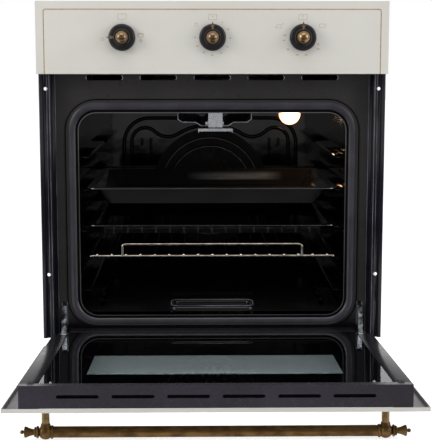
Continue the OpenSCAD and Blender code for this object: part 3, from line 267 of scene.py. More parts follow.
FACES = 0.5  # A normal with more than this along an axis counts as facing that way
FRAME_SHADE_FOOT = (0.030, 0.050)
PAINTED_SHEEN_X = (-0.050, 0.020, 0.110, 0.148)
PAINTED_SHEEN_Z = (0.2515, 0.2545, 0.2610, 0.2690)
PAINTED_SHEEN_BACK = (0.080, 0.095)
PRINT_LETS_LIGHT = 0.95
DOOR_LEAN = math.radians(86.8)
DOOR_DEPTH_AXIS = (0, math.cos(DOOR_LEAN), math.sin(DOOR_LEAN))
BODY_HALF_WIDTH = 0.2450
LAMP_STRENGTH = 12.0
LAMP_WHITE = (1.0, 0.78, 0.48)
LAMP_ORANGE = (0.20, 0.045, 0.006)


def ivory_enamel():
    """Satin ivory enamel with a faint cloudiness and a fine orange peel."""
    finish = new_finish("ivory_enamel", srgb(208, 205, 198), 0.34)
    paint(finish, noise(finish, 9), srgb(206, 203, 196), srgb(210, 207, 201))
    roughen(finish, noise(finish, 60), 0.30, 0.38)
    emboss(finish, noise(finish, 700, 2), 0.05, 0.0002)
    return finish


def dark_enamel(name, low, high, roughness, gloss, peel=0.10):
    """Fired enamel: nearly even colour and a fine orange peel."""
    finish = new_finish(name, high, roughness, Specular_IOR_Level=gloss)
    paint(finish, noise(finish, 14), low, high)
    roughen(finish, noise(finish, 45), roughness * 0.85, roughness * 1.2)
    emboss(finish, noise(finish, 260, 2), peel, 0.0003)
    return finish


def frame_enamel():
    """The frame's satin enamel, with painted shade that turns it black at its foot behind the
    door.
    """
    finish = dark_enamel("frame_enamel", srgb(47, 45, 46), srgb(52, 50, 51), 0.30, 0.12)
    # Painted shade: the frame's foot, shadowed by the open door, is coloured near black
    foot = level(finish, along_axis(finish, "Z"), 1, 0, *FRAME_SHADE_FOOT)
    recolour(finish, foot, srgb(9, 9, 11))
    return finish


def cavity_enamel():
    """Glossy black enamel with a few pale flecks and the soft waviness of a fired sheet."""
    finish = new_finish("cavity_enamel", srgb(6, 6, 6), 0.06, Specular_IOR_Level=0.22)
    paint(finish, cells(finish, 300), srgb(26, 25, 24), srgb(6, 6, 6), 0.03, 0.08)
    roughen(finish, noise(finish, 30), 0.04, 0.10)
    emboss(finish, noise(finish, 22, 2), 0.16, 0.0012)
    return finish


def tray_enamel():
    """The deep tray's enamel, with a painted blue-grey reflection along the foot of its rear
    wall.
    """
    finish = dark_enamel("tray_enamel", srgb(44, 44, 45), srgb(50, 50, 51), 0.08, 0.30)
    share = level(finish, noise(finish, 60, 4, (0.25, 1, 1.6)), 0.55, 1, 0.35, 0.65)
    across, up, deep = (along_axis(finish, axis) for axis in "XZY")
    share = within(
        finish,
        share,
        (across, 0, 1, PAINTED_SHEEN_X[:2]),
        (across, 1, 0, PAINTED_SHEEN_X[2:]),
        (up, 0, 1, PAINTED_SHEEN_Z[:2]),
        (up, 1, 0, PAINTED_SHEEN_Z[2:]),
        (deep, 0, 1, PAINTED_SHEEN_BACK),
    )
    # Painted reflection: a pale blue-grey patch on the foot of the rear wall
    recolour(finish, share, srgb(176, 190, 206))
    return finish


def galvanised():
    """Zinc spangle on plain sheet."""
    finish = new_finish("galvanised", srgb(168, 171, 173), 0.40, Metallic=1.0)
    spangle = cells(finish, 105, (1, 1.2, 0.9))
    paint(finish, spangle, srgb(178, 181, 183), srgb(156, 160, 163), 0.1, 0.75)
    roughen(finish, spangle, 0.36, 0.46, 0.1, 0.8)
    emboss(finish, noise(finish, 160), 0.06, 0.0003)
    return finish


def rear_sheet():
    """Galvanised sheet whose inner side is coated black."""
    finish = galvanised()
    finish.name = "rear_sheet"
    inner = reckon(finish, "LESS_THAN", along_axis(finish, "Y", "Normal"), -FACES)
    recolour(finish, inner, srgb(14, 15, 17))
    return finish


def grey_lacquer():
    """Satin dark grey lacquer of the door's inner body."""
    finish = new_finish("grey_lacquer", srgb(55, 53, 59), 0.26, Specular_IOR_Level=0.20)
    paint(finish, noise(finish, 10), srgb(53, 50, 56), srgb(58, 56, 63))
    roughen(finish, noise(finish, 90), 0.23, 0.30)
    emboss(finish, noise(finish, 900, 2), 0.03, 0.0001)
    return finish


def zinc_plate(name, dull, bright):
    """Zinc-plated steel, mottled where it has dulled."""
    finish = new_finish(name, bright, 0.25, Metallic=1.0)
    wear = noise(finish, 130)
    paint(finish, wear, dull, bright)
    roughen(finish, wear, 0.16, 0.38)
    emboss(finish, noise(finish, 500, 2), 0.10, 0.0003)
    return finish


def chromed_wire():
    finish = new_finish("chromed_wire", srgb(176, 166, 154), 0.10, Metallic=1.0)
    paint(finish, noise(finish, 80), srgb(142, 131, 119), srgb(190, 181, 171))
    roughen(finish, noise(finish, 200), 0.07, 0.15)
    return finish


def antique_brass(name, dark, light, roughness, **inputs):
    """Brass browned with age, rubbed bright where hands reach it."""
    finish = new_finish(name, light, roughness, Metallic=1.0, **inputs)
    patina = noise(finish, 90, 6, (0.6, 1, 1))
    paint(finish, patina, dark, light, 0.36, 0.62)
    roughen(finish, patina, roughness * 1.25, roughness * 0.8)
    emboss(finish, noise(finish, 420, 4), 0.12, 0.0003)
    return finish


def phenolic():
    """Charcoal moulding, satin and faintly grained."""
    finish = new_finish("phenolic", srgb(27, 27, 32), 0.38, Specular_IOR_Level=0.22)
    paint(finish, noise(finish, 120), srgb(24, 24, 29), srgb(31, 31, 36))
    roughen(finish, noise(finish, 260), 0.32, 0.46)
    emboss(finish, noise(finish, 1200, 2), 0.10, 0.0002)
    return finish


def moulding(name, colour, roughness):
    finish = new_finish(name, colour, roughness)
    darker = tuple(c * 0.86 for c in colour)
    paint(finish, noise(finish, 40), darker, colour)
    emboss(finish, noise(finish, 1100, 2), 0.12, 0.0002)
    return finish


def silicone():
    """Grey seal lip, satin, with a slight mottling along it."""
    finish = new_finish("silicone", srgb(52, 50, 56), 0.34, Specular_IOR_Level=0.35)
    paint(finish, noise(finish, 25), srgb(48, 46, 52), srgb(57, 55, 61))
    roughen(finish, noise(finish, 50), 0.30, 0.40)
    emboss(finish, noise(finish, 1000, 2), 0.10, 0.0002)
    return finish


def glass(name, tint):
    """Tinted glass with the faint ripple of a rolled sheet, which lets light through."""
    finish = new_finish(name, tint, 0.0, Transmission_Weight=1.0, IOR=1.45)
    emboss(finish, noise(finish, 5, 1), 0.02, 0.001)
    let_light_through(finish, colour=tint)
    return finish


def black_print():
    """Screened black: dense to the eye, though light soaks through to the gap behind it."""
    finish = new_finish("black_print", srgb(5, 5, 7), 1.0, Specular_IOR_Level=0.0)
    paint(finish, noise(finish, 30), srgb(3, 3, 5), srgb(6, 6, 8))
    let_light_through(finish, PRINT_LETS_LIGHT)
    return finish


def skin_enamel():
    """The door skin's ivory: pale inside behind the window as painted light, grey past the body.
    """
    finish = ivory_enamel()
    finish.name = "skin_enamel"
    tree = finish.node_tree
    point = add(tree, "ShaderNodeTexCoord")
    facing = add(tree, "ShaderNodeVectorMath", {1: DOOR_DEPTH_AXIS}, operation="DOT_PRODUCT")
    tree.links.new(point.outputs["Normal"], facing.inputs[0])
    inward = reckon(finish, "GREATER_THAN", facing.outputs["Value"], FACES)
    aside = reckon(finish, "ABSOLUTE", along_axis(finish, "X"))
    past = reckon(finish, "GREATER_THAN", aside, BODY_HALF_WIDTH)
    # Painted light: the inside behind the window is paled to near white so that the window looks
    # bright
    recolour(finish, inward, srgb(240, 246, 249))
    recolour(finish, reckon(finish, "MULTIPLY", inward, past), srgb(74, 71, 75))
    return finish


def hot_glass():
    """Lamp glass lit from within: white at its middle, orange towards its rim."""
    finish = new_finish("hot_glass", srgb(255, 236, 200), 0.2, Emission_Strength=LAMP_STRENGTH)
    tree = finish.node_tree
    low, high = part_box("lamp_glass")
    middle = (low + high) / 2
    flatten = {"Location": (-middle.x, 0, -middle.z), "Scale": (1, 0, 1)}
    point = add(tree, "ShaderNodeTexCoord")
    flat = add(tree, "ShaderNodeMapping", flatten)
    reach = add(tree, "ShaderNodeVectorMath", operation="LENGTH")
    tree.links.new(point.outputs["Object"], flat.inputs["Vector"])
    tree.links.new(flat.outputs["Vector"], reach.inputs[0])
    share = level(finish, reach.outputs["Value"], 0, 1, 0, (high.x - low.x) / 2)
    feed(finish, spread(finish, share, LAMP_WHITE, LAMP_ORANGE, 0.62, 1.0), "Emission Color")
    return finish


def gold_print():
    finish = new_finish("gold_print", srgb(146, 116, 74), 0.40, Metallic=0.2)
    paint(finish, noise(finish, 200), srgb(146, 116, 62), srgb(172, 142, 84))
    return finish


def glass_wool():
    finish = new_finish("glass_wool", srgb(205, 196, 170), 0.95)
    fibres = noise(finish, 300, 6, (1, 0.2, 1))
    paint(finish, fibres, srgb(176, 165, 138), srgb(220, 212, 190))
    emboss(finish, fibres, 0.6, 0.002)
    return finish


FINISHES = {
    "ivory": ivory_enamel(),
    "skin": skin_enamel(),
    # Painted shade: the dark sheet behind the slots of the door's top bar
    "slot_shade": dark_enamel("slot_shade_lacquer", srgb(34, 36, 42), srgb(38, 40, 47), 0.4, 0.1),
    "claw": zinc_plate("claw_zinc", srgb(70, 73, 80), srgb(165, 169, 176)),
    "fan": dark_enamel("fan_coating", srgb(120, 121, 124), srgb(134, 135, 138), 0.50, 0.20),
    "channel": dark_enamel(
        "channel_lacquer", srgb(31, 30, 34), srgb(36, 35, 39), 0.22, 0.15, 0.03
    ),
    "hinge": zinc_plate("hinge_zinc", srgb(112, 116, 124), srgb(226, 230, 236)),
    "shade": dark_enamel("shadow_enamel", srgb(4, 4, 5), srgb(6, 6, 7), 0.60, 0.05),
    "bend": dark_enamel("bend_sheen", srgb(58, 56, 66), srgb(140, 138, 152), 0.30, 0.40),
    # Lighter than the cavity's black enamel: painted light on the dimly lit floor plate
    "floor": dark_enamel("floor_enamel", srgb(17, 17, 18), srgb(24, 24, 25), 0.06, 0.30),
    "frame": frame_enamel(),
    "lip": dark_enamel("lip_highlight_enamel", srgb(60, 58, 60), srgb(70, 68, 70), 0.12, 0.5),
    "column": dark_enamel("column_enamel", srgb(22, 22, 28), srgb(26, 26, 33), 0.14, 0.30, 0.05),
    "cavity": cavity_enamel(),
    "tray": tray_enamel(),
    # Lighter than the handle bar's brass: painted highlight on the posts
    "post": antique_brass("post_brass", srgb(92, 74, 48), srgb(132, 110, 76), 0.38),
    "zinc": galvanised(),
    "rear": rear_sheet(),
    "lacquer": grey_lacquer(),
    "steel": zinc_plate("zinc_plate", srgb(150, 153, 158), srgb(214, 216, 219)),
    "wire": chromed_wire(),
    "tip": zinc_plate("wire_tip", srgb(214, 211, 206), srgb(246, 244, 240)),
    # Light grey as painted highlight, for the slot ends and the tray rims
    "worn_rim": moulding("worn_rim", srgb(176, 176, 181), 0.30),
    "thin_tray": dark_enamel("thin_tray_enamel", srgb(16, 16, 17), srgb(21, 21, 22), 0.08, 0.30),
    "handle": antique_brass("handle_brass", srgb(78, 57, 34), srgb(106, 82, 50), 0.50),
    "cap": antique_brass(
        "cap_brass",
        srgb(98, 71, 36),
        srgb(132, 100, 54),
        0.38,
        Coat_Weight=1.0,
        Coat_Roughness=0.05,
        Coat_IOR=1.6,
    ),
    "cover": dark_enamel("cover_enamel", srgb(9, 9, 10), srgb(13, 13, 14), 0.34, 0.10, 0.05),
    "arc": dark_enamel("arc_sheen", srgb(104, 104, 106), srgb(150, 150, 152), 0.30, 0.40),
    "fitting": antique_brass("fitting_brass", srgb(150, 120, 66), srgb(200, 170, 104), 0.30),
    "copper": antique_brass("copper_tube", srgb(150, 86, 54), srgb(206, 132, 92), 0.28),
    "phenolic": phenolic(),
    "pale": moulding("pale_moulding", srgb(206, 200, 186), 0.42),
    "dark": moulding("dark_moulding", srgb(38, 38, 41), 0.45),
    "ceramic": moulding("ceramic", srgb(224, 219, 206), 0.25),
    "motor": moulding("motor_paint", srgb(96, 99, 104), 0.40),
    "rubber": moulding("rubber", srgb(24, 24, 25), 0.55),
    "seal": silicone(),
    "clear": glass("clear_glass", (0.91, 0.95, 0.95)),
    "window": glass("window_glass", (0.88, 0.93, 0.93)),
    "print": black_print(),
    "lamp": hot_glass(),
    "gold": gold_print(),
    "wool": glass_wool(),
}


# Shaping helpers

SMOOTH = 35
SMOOTH_ROUNDED = 32
SMOOTH_CURVED = 60
WELD_CAD = 2e-6
WELD_TURNED = 1e-7
FLAT_ANGLE = 0.4
SHARP_ANGLE = 28
MITRE_LIMIT = 0.4


def body_of(node):
    return nodes[node]["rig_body"]


def settle(work, name, finish, body, smooth_angle):
    """Turns a bmesh into a piece that rides on a body."""
    mesh = bpy.data.meshes.new(name)
    work.to_mesh(mesh)
    work.free()
    mesh.materials.append(FINISHES[finish])
    mesh.shade_smooth()
    mesh.set_sharp_from_angle(angle=math.radians(smooth_angle))
    piece = bpy.data.objects.new(name, mesh)
    scene.collection.objects.link(piece)
    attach(piece, body)
    return piece


def show(work, name, finish, body, smooth_angle=SMOOTH):
    """Makes a fine piece that the CAD doesn't have."""
    bmesh.ops.recalc_face_normals(work, faces=work.faces)
    settle(work, name, finish, body, smooth_angle)


def round_off(work, edges, radius, segments):
    bmesh.ops.bevel(
        work,
        geom=edges,
        offset=radius,
        offset_type="OFFSET",
        affect="EDGES",
        segments=segments,
        profile=0.5,
        material=-1,
        clamp_overlap=True,
    )


def rounded(node, finish, radius, segments):
    """A CAD node's own shape with its sharp edges rounded, which stands for that node."""
    work = bmesh.new()
    work.from_mesh(nodes[node].data)
    bmesh.ops.remove_doubles(work, verts=work.verts, dist=WELD_CAD)
    flat = math.radians(FLAT_ANGLE)
    bmesh.ops.dissolve_limit(work, angle_limit=flat, verts=work.verts, edges=work.edges)
    least = math.radians(SHARP_ANGLE)
    inner = [e for e in work.edges if len(e.link_faces) == 2]
    round_off(work, [e for e in inner if e.calc_face_angle(0) > least], radius, segments)
    piece = settle(work, node + "_finished", finish, body_of(node), SMOOTH_ROUNDED)
    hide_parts(node)


def stroke(work, points, width, face_y, thick, closed=False):
    """A flat line of even width through points of the XZ plane, standing proud of face_y."""
    count = len(points)
    rings = []
    for i, (x, z) in enumerate(points):
        here = Vector((x, z))
        before = Vector(points[i - 1]) if closed or i else here
        after = Vector(points[(i + 1) % count]) if closed or i < count - 1 else here
        ahead = (after - here).normalized()
        into = (here - before).normalized() if (here - before).length else ahead
        out_of = ahead if (after - here).length else into
        side = Vector((-into.y - out_of.y, into.x + out_of.x)).normalized()
        reach = width / 2 / max(MITRE_LIMIT, side.dot(Vector((-out_of.y, out_of.x))))
        corners = []
        for across, depth in ((1, 0), (1, thick), (-1, thick), (-1, 0)):
            spot = here + side * reach * across
            corners.append(work.verts.new((spot.x, face_y - depth, spot.y)))
        rings.append(corners)
    last = count if closed else count - 1
    for i in range(last):
        a, b = rings[i], rings[(i + 1) % count]
        for k in range(4):
            work.faces.new((a[k], a[(k + 1) % 4], b[(k + 1) % 4], b[k]))
    if not closed:
        work.faces.new(rings[0])
        work.faces.new(rings[-1])


def arc(cx, cz, radius, start, end, steps=12):
    """Points on an arc, in degrees from +X towards +Z."""
    turns = [math.radians(start + (end - start) * i / steps) for i in range(steps + 1)]
    return [(cx + radius * math.cos(t), cz + radius * math.sin(t)) for t in turns]


def frame_points(w, h, r, steps=3):
    """Points round a rounded rectangle."""
    points = []
    for sx, sz, start in ((1, 1, 0), (-1, 1, 90), (-1, -1, 180), (1, -1, 270)):
        points += arc(sx * (w / 2 - r), sz * (h / 2 - r), r, start, start + 90, steps)
    return points


def turned(work, profile, at, axis, steps):
    """Spins a profile of (radius, height) about an axis through a point."""
    along = Vector(axis).normalized()
    across = along.orthogonal().normalized()
    rim = [work.verts.new(Vector(at) + across * r + along * h) for r, h in profile]
    edges = [work.edges.new(pair) for pair in zip(rim, rim[1:])]
    bmesh.ops.spin(
        work,
        geom=rim + edges,
        cent=at,
        axis=along,
        angle=math.tau,
        steps=steps,
        use_merge=True,
    )
    bmesh.ops.remove_doubles(work, verts=work.verts, dist=WELD_TURNED)


def rod(radius, length):
    """The profile that turns into a rod."""
    return [(0, 0), (radius, 0), (radius, length), (0, length)]


def block(work, low, high):
    """A box between two corners."""
    size = Vector(high) - Vector(low)
    shape = Matrix.Translation((Vector(low) + Vector(high)) / 2) @ Matrix.Diagonal((*size, 1))
    return bmesh.ops.create_cube(work, size=1, matrix=shape)["verts"]


def coat(finish, *names):
    """Gives carried-over CAD nodes their finish."""
    for name in names:
        mesh = nodes[name].data
        mesh.materials.clear()
        mesh.materials.append(FINISHES[finish])


# Structure that stays as the CAD made it

coat("zinc", "carcass_shell", "base_pan", "control_chassis", "hinge_receivers", "blower_wheel")
coat("rear", "rear_cover")
coat("shade", "air_duct", "blower_housing")
coat("fan", "fan_pot", "convection_fan")
coat("wool", "insulation")
coat("steel", "floor_burner", "grill_burner", "grill_bracket", "hinge_pins")
coat("ceramic", "lamp_holder", "burner_probes")
coat("motor", "fan_motor", "blower_motor")
coat("pale", "selector_switch", "timer_body")
coat("fitting", "thermostat_tap", "tap_plug", "gas_inlet")
coat("copper", "thermostat_bulb", "gas_pipes")
coat("dark", "terminal_block", "cable_gland")
coat("frame", "front_frame")
coat("cavity", "cavity_liner")
coat("cover", "fan_cover")
coat("floor", "floor_plate")
coat("seal", "door_seal")
coat("claw", "grill_reflector")
coat("hinge", "hinge_claws", "hinge_forks")
coat("lamp", "lamp_bulb", "lamp_glass")
coat("ivory", "control_panel")
coat("skin", "door_skin")
coat("lacquer", "door_top_bar")
coat("column", "door_bottom_channel")
coat("window", "window_glass")
coat("clear", "inner_glass")
coat("rubber", "door_buffers")
coat("post", "handle_posts")
coat("handle", "handle_bar", "handle_ends")
coat("phenolic", "selector_skirt", "timer_skirt", "thermostat_skirt")
coat("cap", "selector_cap", "timer_cap", "thermostat_cap")
coat("tray", "deep_tray")
coat("thin_tray", "shallow_tray")
coat("wire", "wire_rack")


# Beads pressed into the back wall

BACK_WALL = 0.13795
BEAD_FOOT = 0.110
BEAD_W, RIB_W = 0.0076, 0.0056
BEAD_H = 0.0025
BEAD_STEPS = 8
OUTER_X, OUTER_TOP, OUTER_R = 0.178, 0.376, 0.052
INNER_X, INNER_FOOT = 0.162, BEAD_FOOT + 0.040
CREST_DROP = 0.048
WAVE_R, DIP_R, RING_R = 0.028, 0.040, 0.127
RIB_RISE = 0.007
RIBS = ((0.021, 0.016), (0.0395, 0.044))
COVER_MIDDLE = (0, 0.235)
MIRROR_X = Matrix.Diagonal((-1, 1, 1, 1))


def edges_in(shape):
    return [g for g in shape if isinstance(g, bmesh.types.BMEdge)]


def half_round(work, at, width, across):
    """The closed outline of a half-round bead, standing on the back wall."""
    toward = Vector((0, -1, 0))
    rim = []
    for i in range(BEAD_STEPS + 1):
        turn = math.pi * i / BEAD_STEPS
        spot = across * (width / 2 * math.cos(turn)) + toward * (BEAD_H * math.sin(turn))
        rim.append(work.verts.new(at + spot))
    edges = [work.edges.new(pair) for pair in zip(rim, rim[1:])]
    edges.append(work.edges.new((rim[-1], rim[0])))
    return rim + edges


def sweep(work, shape, moves):
    """Draws an outline along straight runs and turns about the Y axis, and closes both ends."""
    bmesh.ops.edgeloop_fill(work, edges=edges_in(shape))
    for move in moves:
        if len(move) == 1:
            grown = bmesh.ops.extrude_edge_only(work, edges=edges_in(shape))["geom"]
            verts = [v for v in grown if isinstance(v, bmesh.types.BMVert)]
            bmesh.ops.translate(work, verts=verts, vec=move[0])
            shape = verts + [e for e in edges_in(grown) if set(e.verts) <= set(verts)]
        else:
            centre, angle = move
            shape = bmesh.ops.spin(
                work,
                geom=shape,
                cent=centre,
                axis=(0, 1, 0),
                angle=math.radians(angle),
                steps=max(3, round(abs(angle) / 5)),
            )["geom_last"]
    bmesh.ops.edgeloop_fill(work, edges=edges_in(shape))


def bead(work, moves, x, z, across=(1, 0, 0), width=BEAD_W):
    """A bead from a starting point, and its mirror image."""
    for mirrored in (False, True):
        before = set(work.verts)
        sweep(work, half_round(work, Vector((x, BACK_WALL, z)), width, Vector(across)), moves)
        if mirrored:
            grown = [v for v in work.verts if v not in before]
            bmesh.ops.transform(work, verts=grown, matrix=MIRROR_X)


def wall_beads():
    """The round crests of the beads; the dip's arc touches both the crest and the fan's ring."""
    work = bmesh.new()
    crest = Vector((INNER_X - WAVE_R, OUTER_TOP - CREST_DROP))
    fan = Vector(COVER_MIDDLE)
    gap = (crest - fan).length
    toward_fan = (fan - crest) / gap
    run = ((WAVE_R + DIP_R) ** 2 - (RING_R + DIP_R) ** 2 + gap**2) / (2 * gap)
    rise = math.sqrt((WAVE_R + DIP_R) ** 2 - run**2)
    dip = crest + toward_fan * run + Vector((toward_fan.y, -toward_fan.x)) * rise
    crest_end = math.degrees(math.atan2(dip.y - crest.y, dip.x - crest.x)) % 360
    ring_start = math.degrees(math.atan2(dip.y - fan.y, dip.x - fan.x))
    outer = [
        ((0, 0, OUTER_TOP - OUTER_R - BEAD_FOOT),),
        ((OUTER_X - OUTER_R, 0, OUTER_TOP - OUTER_R), -90),
        ((-(OUTER_X - OUTER_R), 0, 0),),
    ]
    wave = [
        ((0, 0, crest.y - INNER_FOOT),),
        ((crest.x, 0, crest.y), -crest_end),
        ((dip.x, 0, dip.y), crest_end - ring_start),
    ]
    bead(work, outer, OUTER_X, BEAD_FOOT)
    bead(work, wave, INNER_X, INNER_FOOT)
    turn = math.radians(ring_start)
    spot = Vector((RING_R * math.cos(turn), RING_R * math.sin(turn)))
    across = (math.cos(turn), 0, math.sin(turn))
    bead(work, [((0, 0, fan.y), -(90 - ring_start))], spot.x, fan.y + spot.y, across)
    for aside, length in RIBS:
        foot = crest.y + RIB_RISE - length
        bead(work, [((0, 0, length),)], INNER_X - aside, foot, width=RIB_W)
    show(work, "wall_beads", "cavity", "oven", SMOOTH_CURVED)


# Mouth of the cavity, and the door's own trims

LEDGE_ROUNDING = 0.0022
COLUMN_ROUNDING = 0.0006
CHANNEL_ROUNDING = 0.0005
COLLAR_FRONT = -0.2610
MOUTH_MIDDLE = 0.2275
MOUTH_HALF_W, MOUTH_H, MOUTH_R = 0.233, 0.359, 0.032
CROWN_ROUNDING = 0.85
DOOR_FACE_Y = -0.302
DOOR_HINGE = Vector((0, -0.2776, 0.0148))
DOOR_SWING = (
    Matrix.Translation(DOOR_HINGE)
    @ Matrix.Rotation(DOOR_LEAN, 4, "X")
    @ Matrix.Translation(-DOOR_HINGE)
)
GASKET = ((-0.2475, DOOR_FACE_Y + 0.0339, 0.0474), (0.2475, DOOR_FACE_Y + 0.03815, 0.0500))
SLOT_SHADE_SHEET = ((-0.2468, -0.2998, 0.4412), (0.2468, -0.2690, 0.4420))


def mouth_trim(name, finish, grow, thick, proud):
    """A rounded trim that runs round the mouth of the cavity, grown outwards from its edge."""
    wide, high = 2 * (MOUTH_HALF_W + grow), MOUTH_H + 2 * grow
    points = frame_points(wide, high, MOUTH_R + grow, 10)
    work = bmesh.new()
    stroke(work, [(x, z + MOUTH_MIDDLE) for x, z in points], thick, COLLAR_FRONT, proud, True)
    crown = [e for e in work.edges if all(v.co.y < COLLAR_FRONT - proud / 2 for v in e.verts)]
    crown = [e for e in crown if abs(e.calc_face_angle(0)) > 1]
    round_off(work, crown, min(proud, thick / 2) * CROWN_ROUNDING, 3)
    show(work, name, finish, "oven", SMOOTH_CURVED)


def door_block(name, finish, low, high):
    """A box whose corners are given for the closed door."""
    work = bmesh.new()
    verts = block(work, low, high)
    bmesh.ops.transform(work, verts=verts, matrix=DOOR_SWING)
    show(work, name, finish, "door")


rounded("runner_ledges", "cavity", LEDGE_ROUNDING, 3)
rounded("side_columns", "column", COLUMN_ROUNDING, 3)
rounded("door_channels", "channel", CHANNEL_ROUNDING, 2)
wall_beads()
mouth_trim("mouth_groove", "shade", 0.00215, 0.0044, 0.00015)
# The lip is a rounded trim with real gloss, in a lighter enamel that is painted highlight on the
# mouth's inner edge
mouth_trim("mouth_lip", "lip", -0.0006, 0.0014, 0.0012)
mouth_trim("collar_edge", "shade", 0.0220, 0.0018, 0.0007)

# The rubber channel on the inner glass's lower edge, next to the hinges
door_block("glass_gasket", "rubber", *GASKET)


# Light that the bends and cut edges catch in the photograph

COLUMN_FOOT, COLUMN_TOP = 0.013, 0.472
COLUMN_FACE = -0.2815
BENDS = ((0.29615, COLUMN_FACE), (0.2838, -0.2780), (0.2787, COLUMN_FACE), (0.2712, -0.2614))
BEND_R = 0.0004
FRAME_FACE = -0.2600
SLOT_Z = 0.4665
SLOT_PITCH = 0.093
SLOT_REACH = 0.0276
SLOT_END_R = 0.0041
SLOT_END_W, SLOT_END_T = 0.0009, 0.0003
GRIP_W, GRIP_D, GRIP_R = 0.147, 0.056, 0.014
GRIP_AT = (0, -0.210, 0.0600)
GLEAM_W, GLEAM_T = 0.0014, 0.0006
COVER_STEPS = ((0.0832, 0.1278), (0.1002, 0.1323))
COVER_ARC_W, COVER_ARC_T = 0.0012, 0.0004


def column_bends():
    """The thin light lines down the bends of both side columns."""
    work = bmesh.new()
    profile = rod(BEND_R, COLUMN_TOP - COLUMN_FOOT)
    for side in (-1, 1):
        for x, y in BENDS:
            turned(work, profile, (side * x, y, COLUMN_FOOT), (0, 0, 1), 10)
    show(work, "column_bends", "bend", "oven", SMOOTH_CURVED)


def slot_ends():
    """Painted highlights on the cut edges at both ends of the slots under the panel."""
    work = bmesh.new()
    for i in range(-2, 3):
        right = arc(i * SLOT_PITCH + SLOT_REACH, SLOT_Z, SLOT_END_R, -60, 60, 6)
        left = arc(i * SLOT_PITCH - SLOT_REACH, SLOT_Z, SLOT_END_R, 140, 220, 6)
        for points in (left, right):
            stroke(work, points, SLOT_END_W, FRAME_FACE, SLOT_END_T)
    show(work, "slot_ends", "worn_rim", "oven")


def grip_gleam():
    """The light line along the crest of the floor plate's grip loop."""
    work = bmesh.new()
    stroke(work, frame_points(GRIP_W, GRIP_D, GRIP_R, 6), GLEAM_W, 0, GLEAM_T, True)
    lay = Matrix.Translation(GRIP_AT) @ Matrix.Rotation(-math.pi / 2, 4, "X")
    bmesh.ops.transform(work, verts=work.verts, matrix=lay)
    show(work, "grip_gleam", "bend", "oven")


def cover_arcs():
    """The two thin arcs of light on the stepped edges of the fan cover."""
    work = bmesh.new()
    for radius, y in COVER_STEPS:
        points = arc(*COVER_MIDDLE, radius, 0, 355, 71)
        stroke(work, points, COVER_ARC_W, y, COVER_ARC_T, True)
    show(work, "cover_arcs", "arc", "oven", SMOOTH_CURVED)


column_bends()
slot_ends()
grip_gleam()
cover_arcs()


# Screws of the sheet-metal body

REAR_FACE = 0.2600
SIDE_FACE = 0.2725
REAR_SCREWS = [(x, z) for x in (-0.262, -0.09, 0.09, 0.262) for z in (0.012, 0.561)]
REAR_SCREWS += [(x, z) for x in (-0.262, 0.262) for z in (0.15, 0.29, 0.43)]
SIDE_SCREWS = [(y, z) for z in (0.03, 0.20, 0.37, 0.545) for y in (-0.245, 0.247)]
HEAD_R = 0.0042
DOME = (
    (0, 0),
    (HEAD_R, 0),
    (HEAD_R, 0.0008),
    (0.8 * HEAD_R, 0.0016),
    (0.4 * HEAD_R, 0.0020),
    (0, 0.0021),
)
CROSS_ARMS = ((0.0046, 0.0011), (0.0011, 0.0046))
CROSS_FOOT, CROSS_TOP = 0.0012, 0.0022


def pan_head(work, cross, at, axis):
    """A domed screw head with a cross in it, pointing along an axis."""
    turned(work, DOME, at, axis, 24)
    stand = Vector(axis).to_track_quat("Z", "Y").to_matrix().to_4x4()
    for long, wide in CROSS_ARMS:
        low, high = (-long / 2, -wide / 2, CROSS_FOOT), (long / 2, wide / 2, CROSS_TOP)
        grown = block(cross, low, high)
        bmesh.ops.transform(cross, verts=grown, matrix=Matrix.Translation(at) @ stand)


def body_screws():
    """Screws that hold the rear cover and the sides of the shell."""
    heads, crosses = bmesh.new(), bmesh.new()
    for x, z in REAR_SCREWS:
        pan_head(heads, crosses, (x, REAR_FACE, z), (0, 1, 0))
    for side in (-1, 1):
        for y, z in SIDE_SCREWS:
            pan_head(heads, crosses, (side * SIDE_FACE, y, z), (side, 0, 0))
    show(heads, "body_screws", "steel", "oven")
    show(crosses, "screw_crosses", "dark", "oven")


body_screws()


# Trays and rack

RIM_REACH = 0.212
RIM_R = 0.0007
RACK_WIRE = 0.004
RACK_BARS = 17
RACK_PITCH = 0.0254
TIP_R = 0.0021
TIP_PROUD = 0.001
TIP_STEPS = 12


def rim_edge(node):
    """A painted highlight: the bright line along the front edge of a tray's rim."""
    low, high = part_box(node)
    middle = (low.x + high.x) / 2
    work = bmesh.new()
    start = (middle - RIM_REACH, low.y + RIM_R, high.z - RIM_R)
    turned(work, rod(RIM_R, 2 * RIM_REACH), start, (1, 0, 0), 12)
    show(work, node + "_rim", "worn_rim", body_of(node), SMOOTH_CURVED)


def wire_tips():
    """The bright cut ends of the rack's long wires, along its front."""
    low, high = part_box("wire_rack")
    middle = (low.x + high.x) / 2
    front = low.y + RACK_WIRE / 2 - TIP_PROUD
    work = bmesh.new()
    for i in range(RACK_BARS):
        x = middle + (i - (RACK_BARS - 1) / 2) * RACK_PITCH
        bmesh.ops.create_uvsphere(
            work,
            u_segments=TIP_STEPS,
            v_segments=TIP_STEPS // 2,
            radius=TIP_R,
            matrix=Matrix.Translation((x, front, low.z + RACK_WIRE)),
        )
    show(work, "wire_tips", "tip", body_of("wire_rack"), SMOOTH_CURVED)


rim_edge("deep_tray")
rim_edge("shallow_tray")
wire_tips()


# Printing on the control panel; the signs are drawn in millimetres

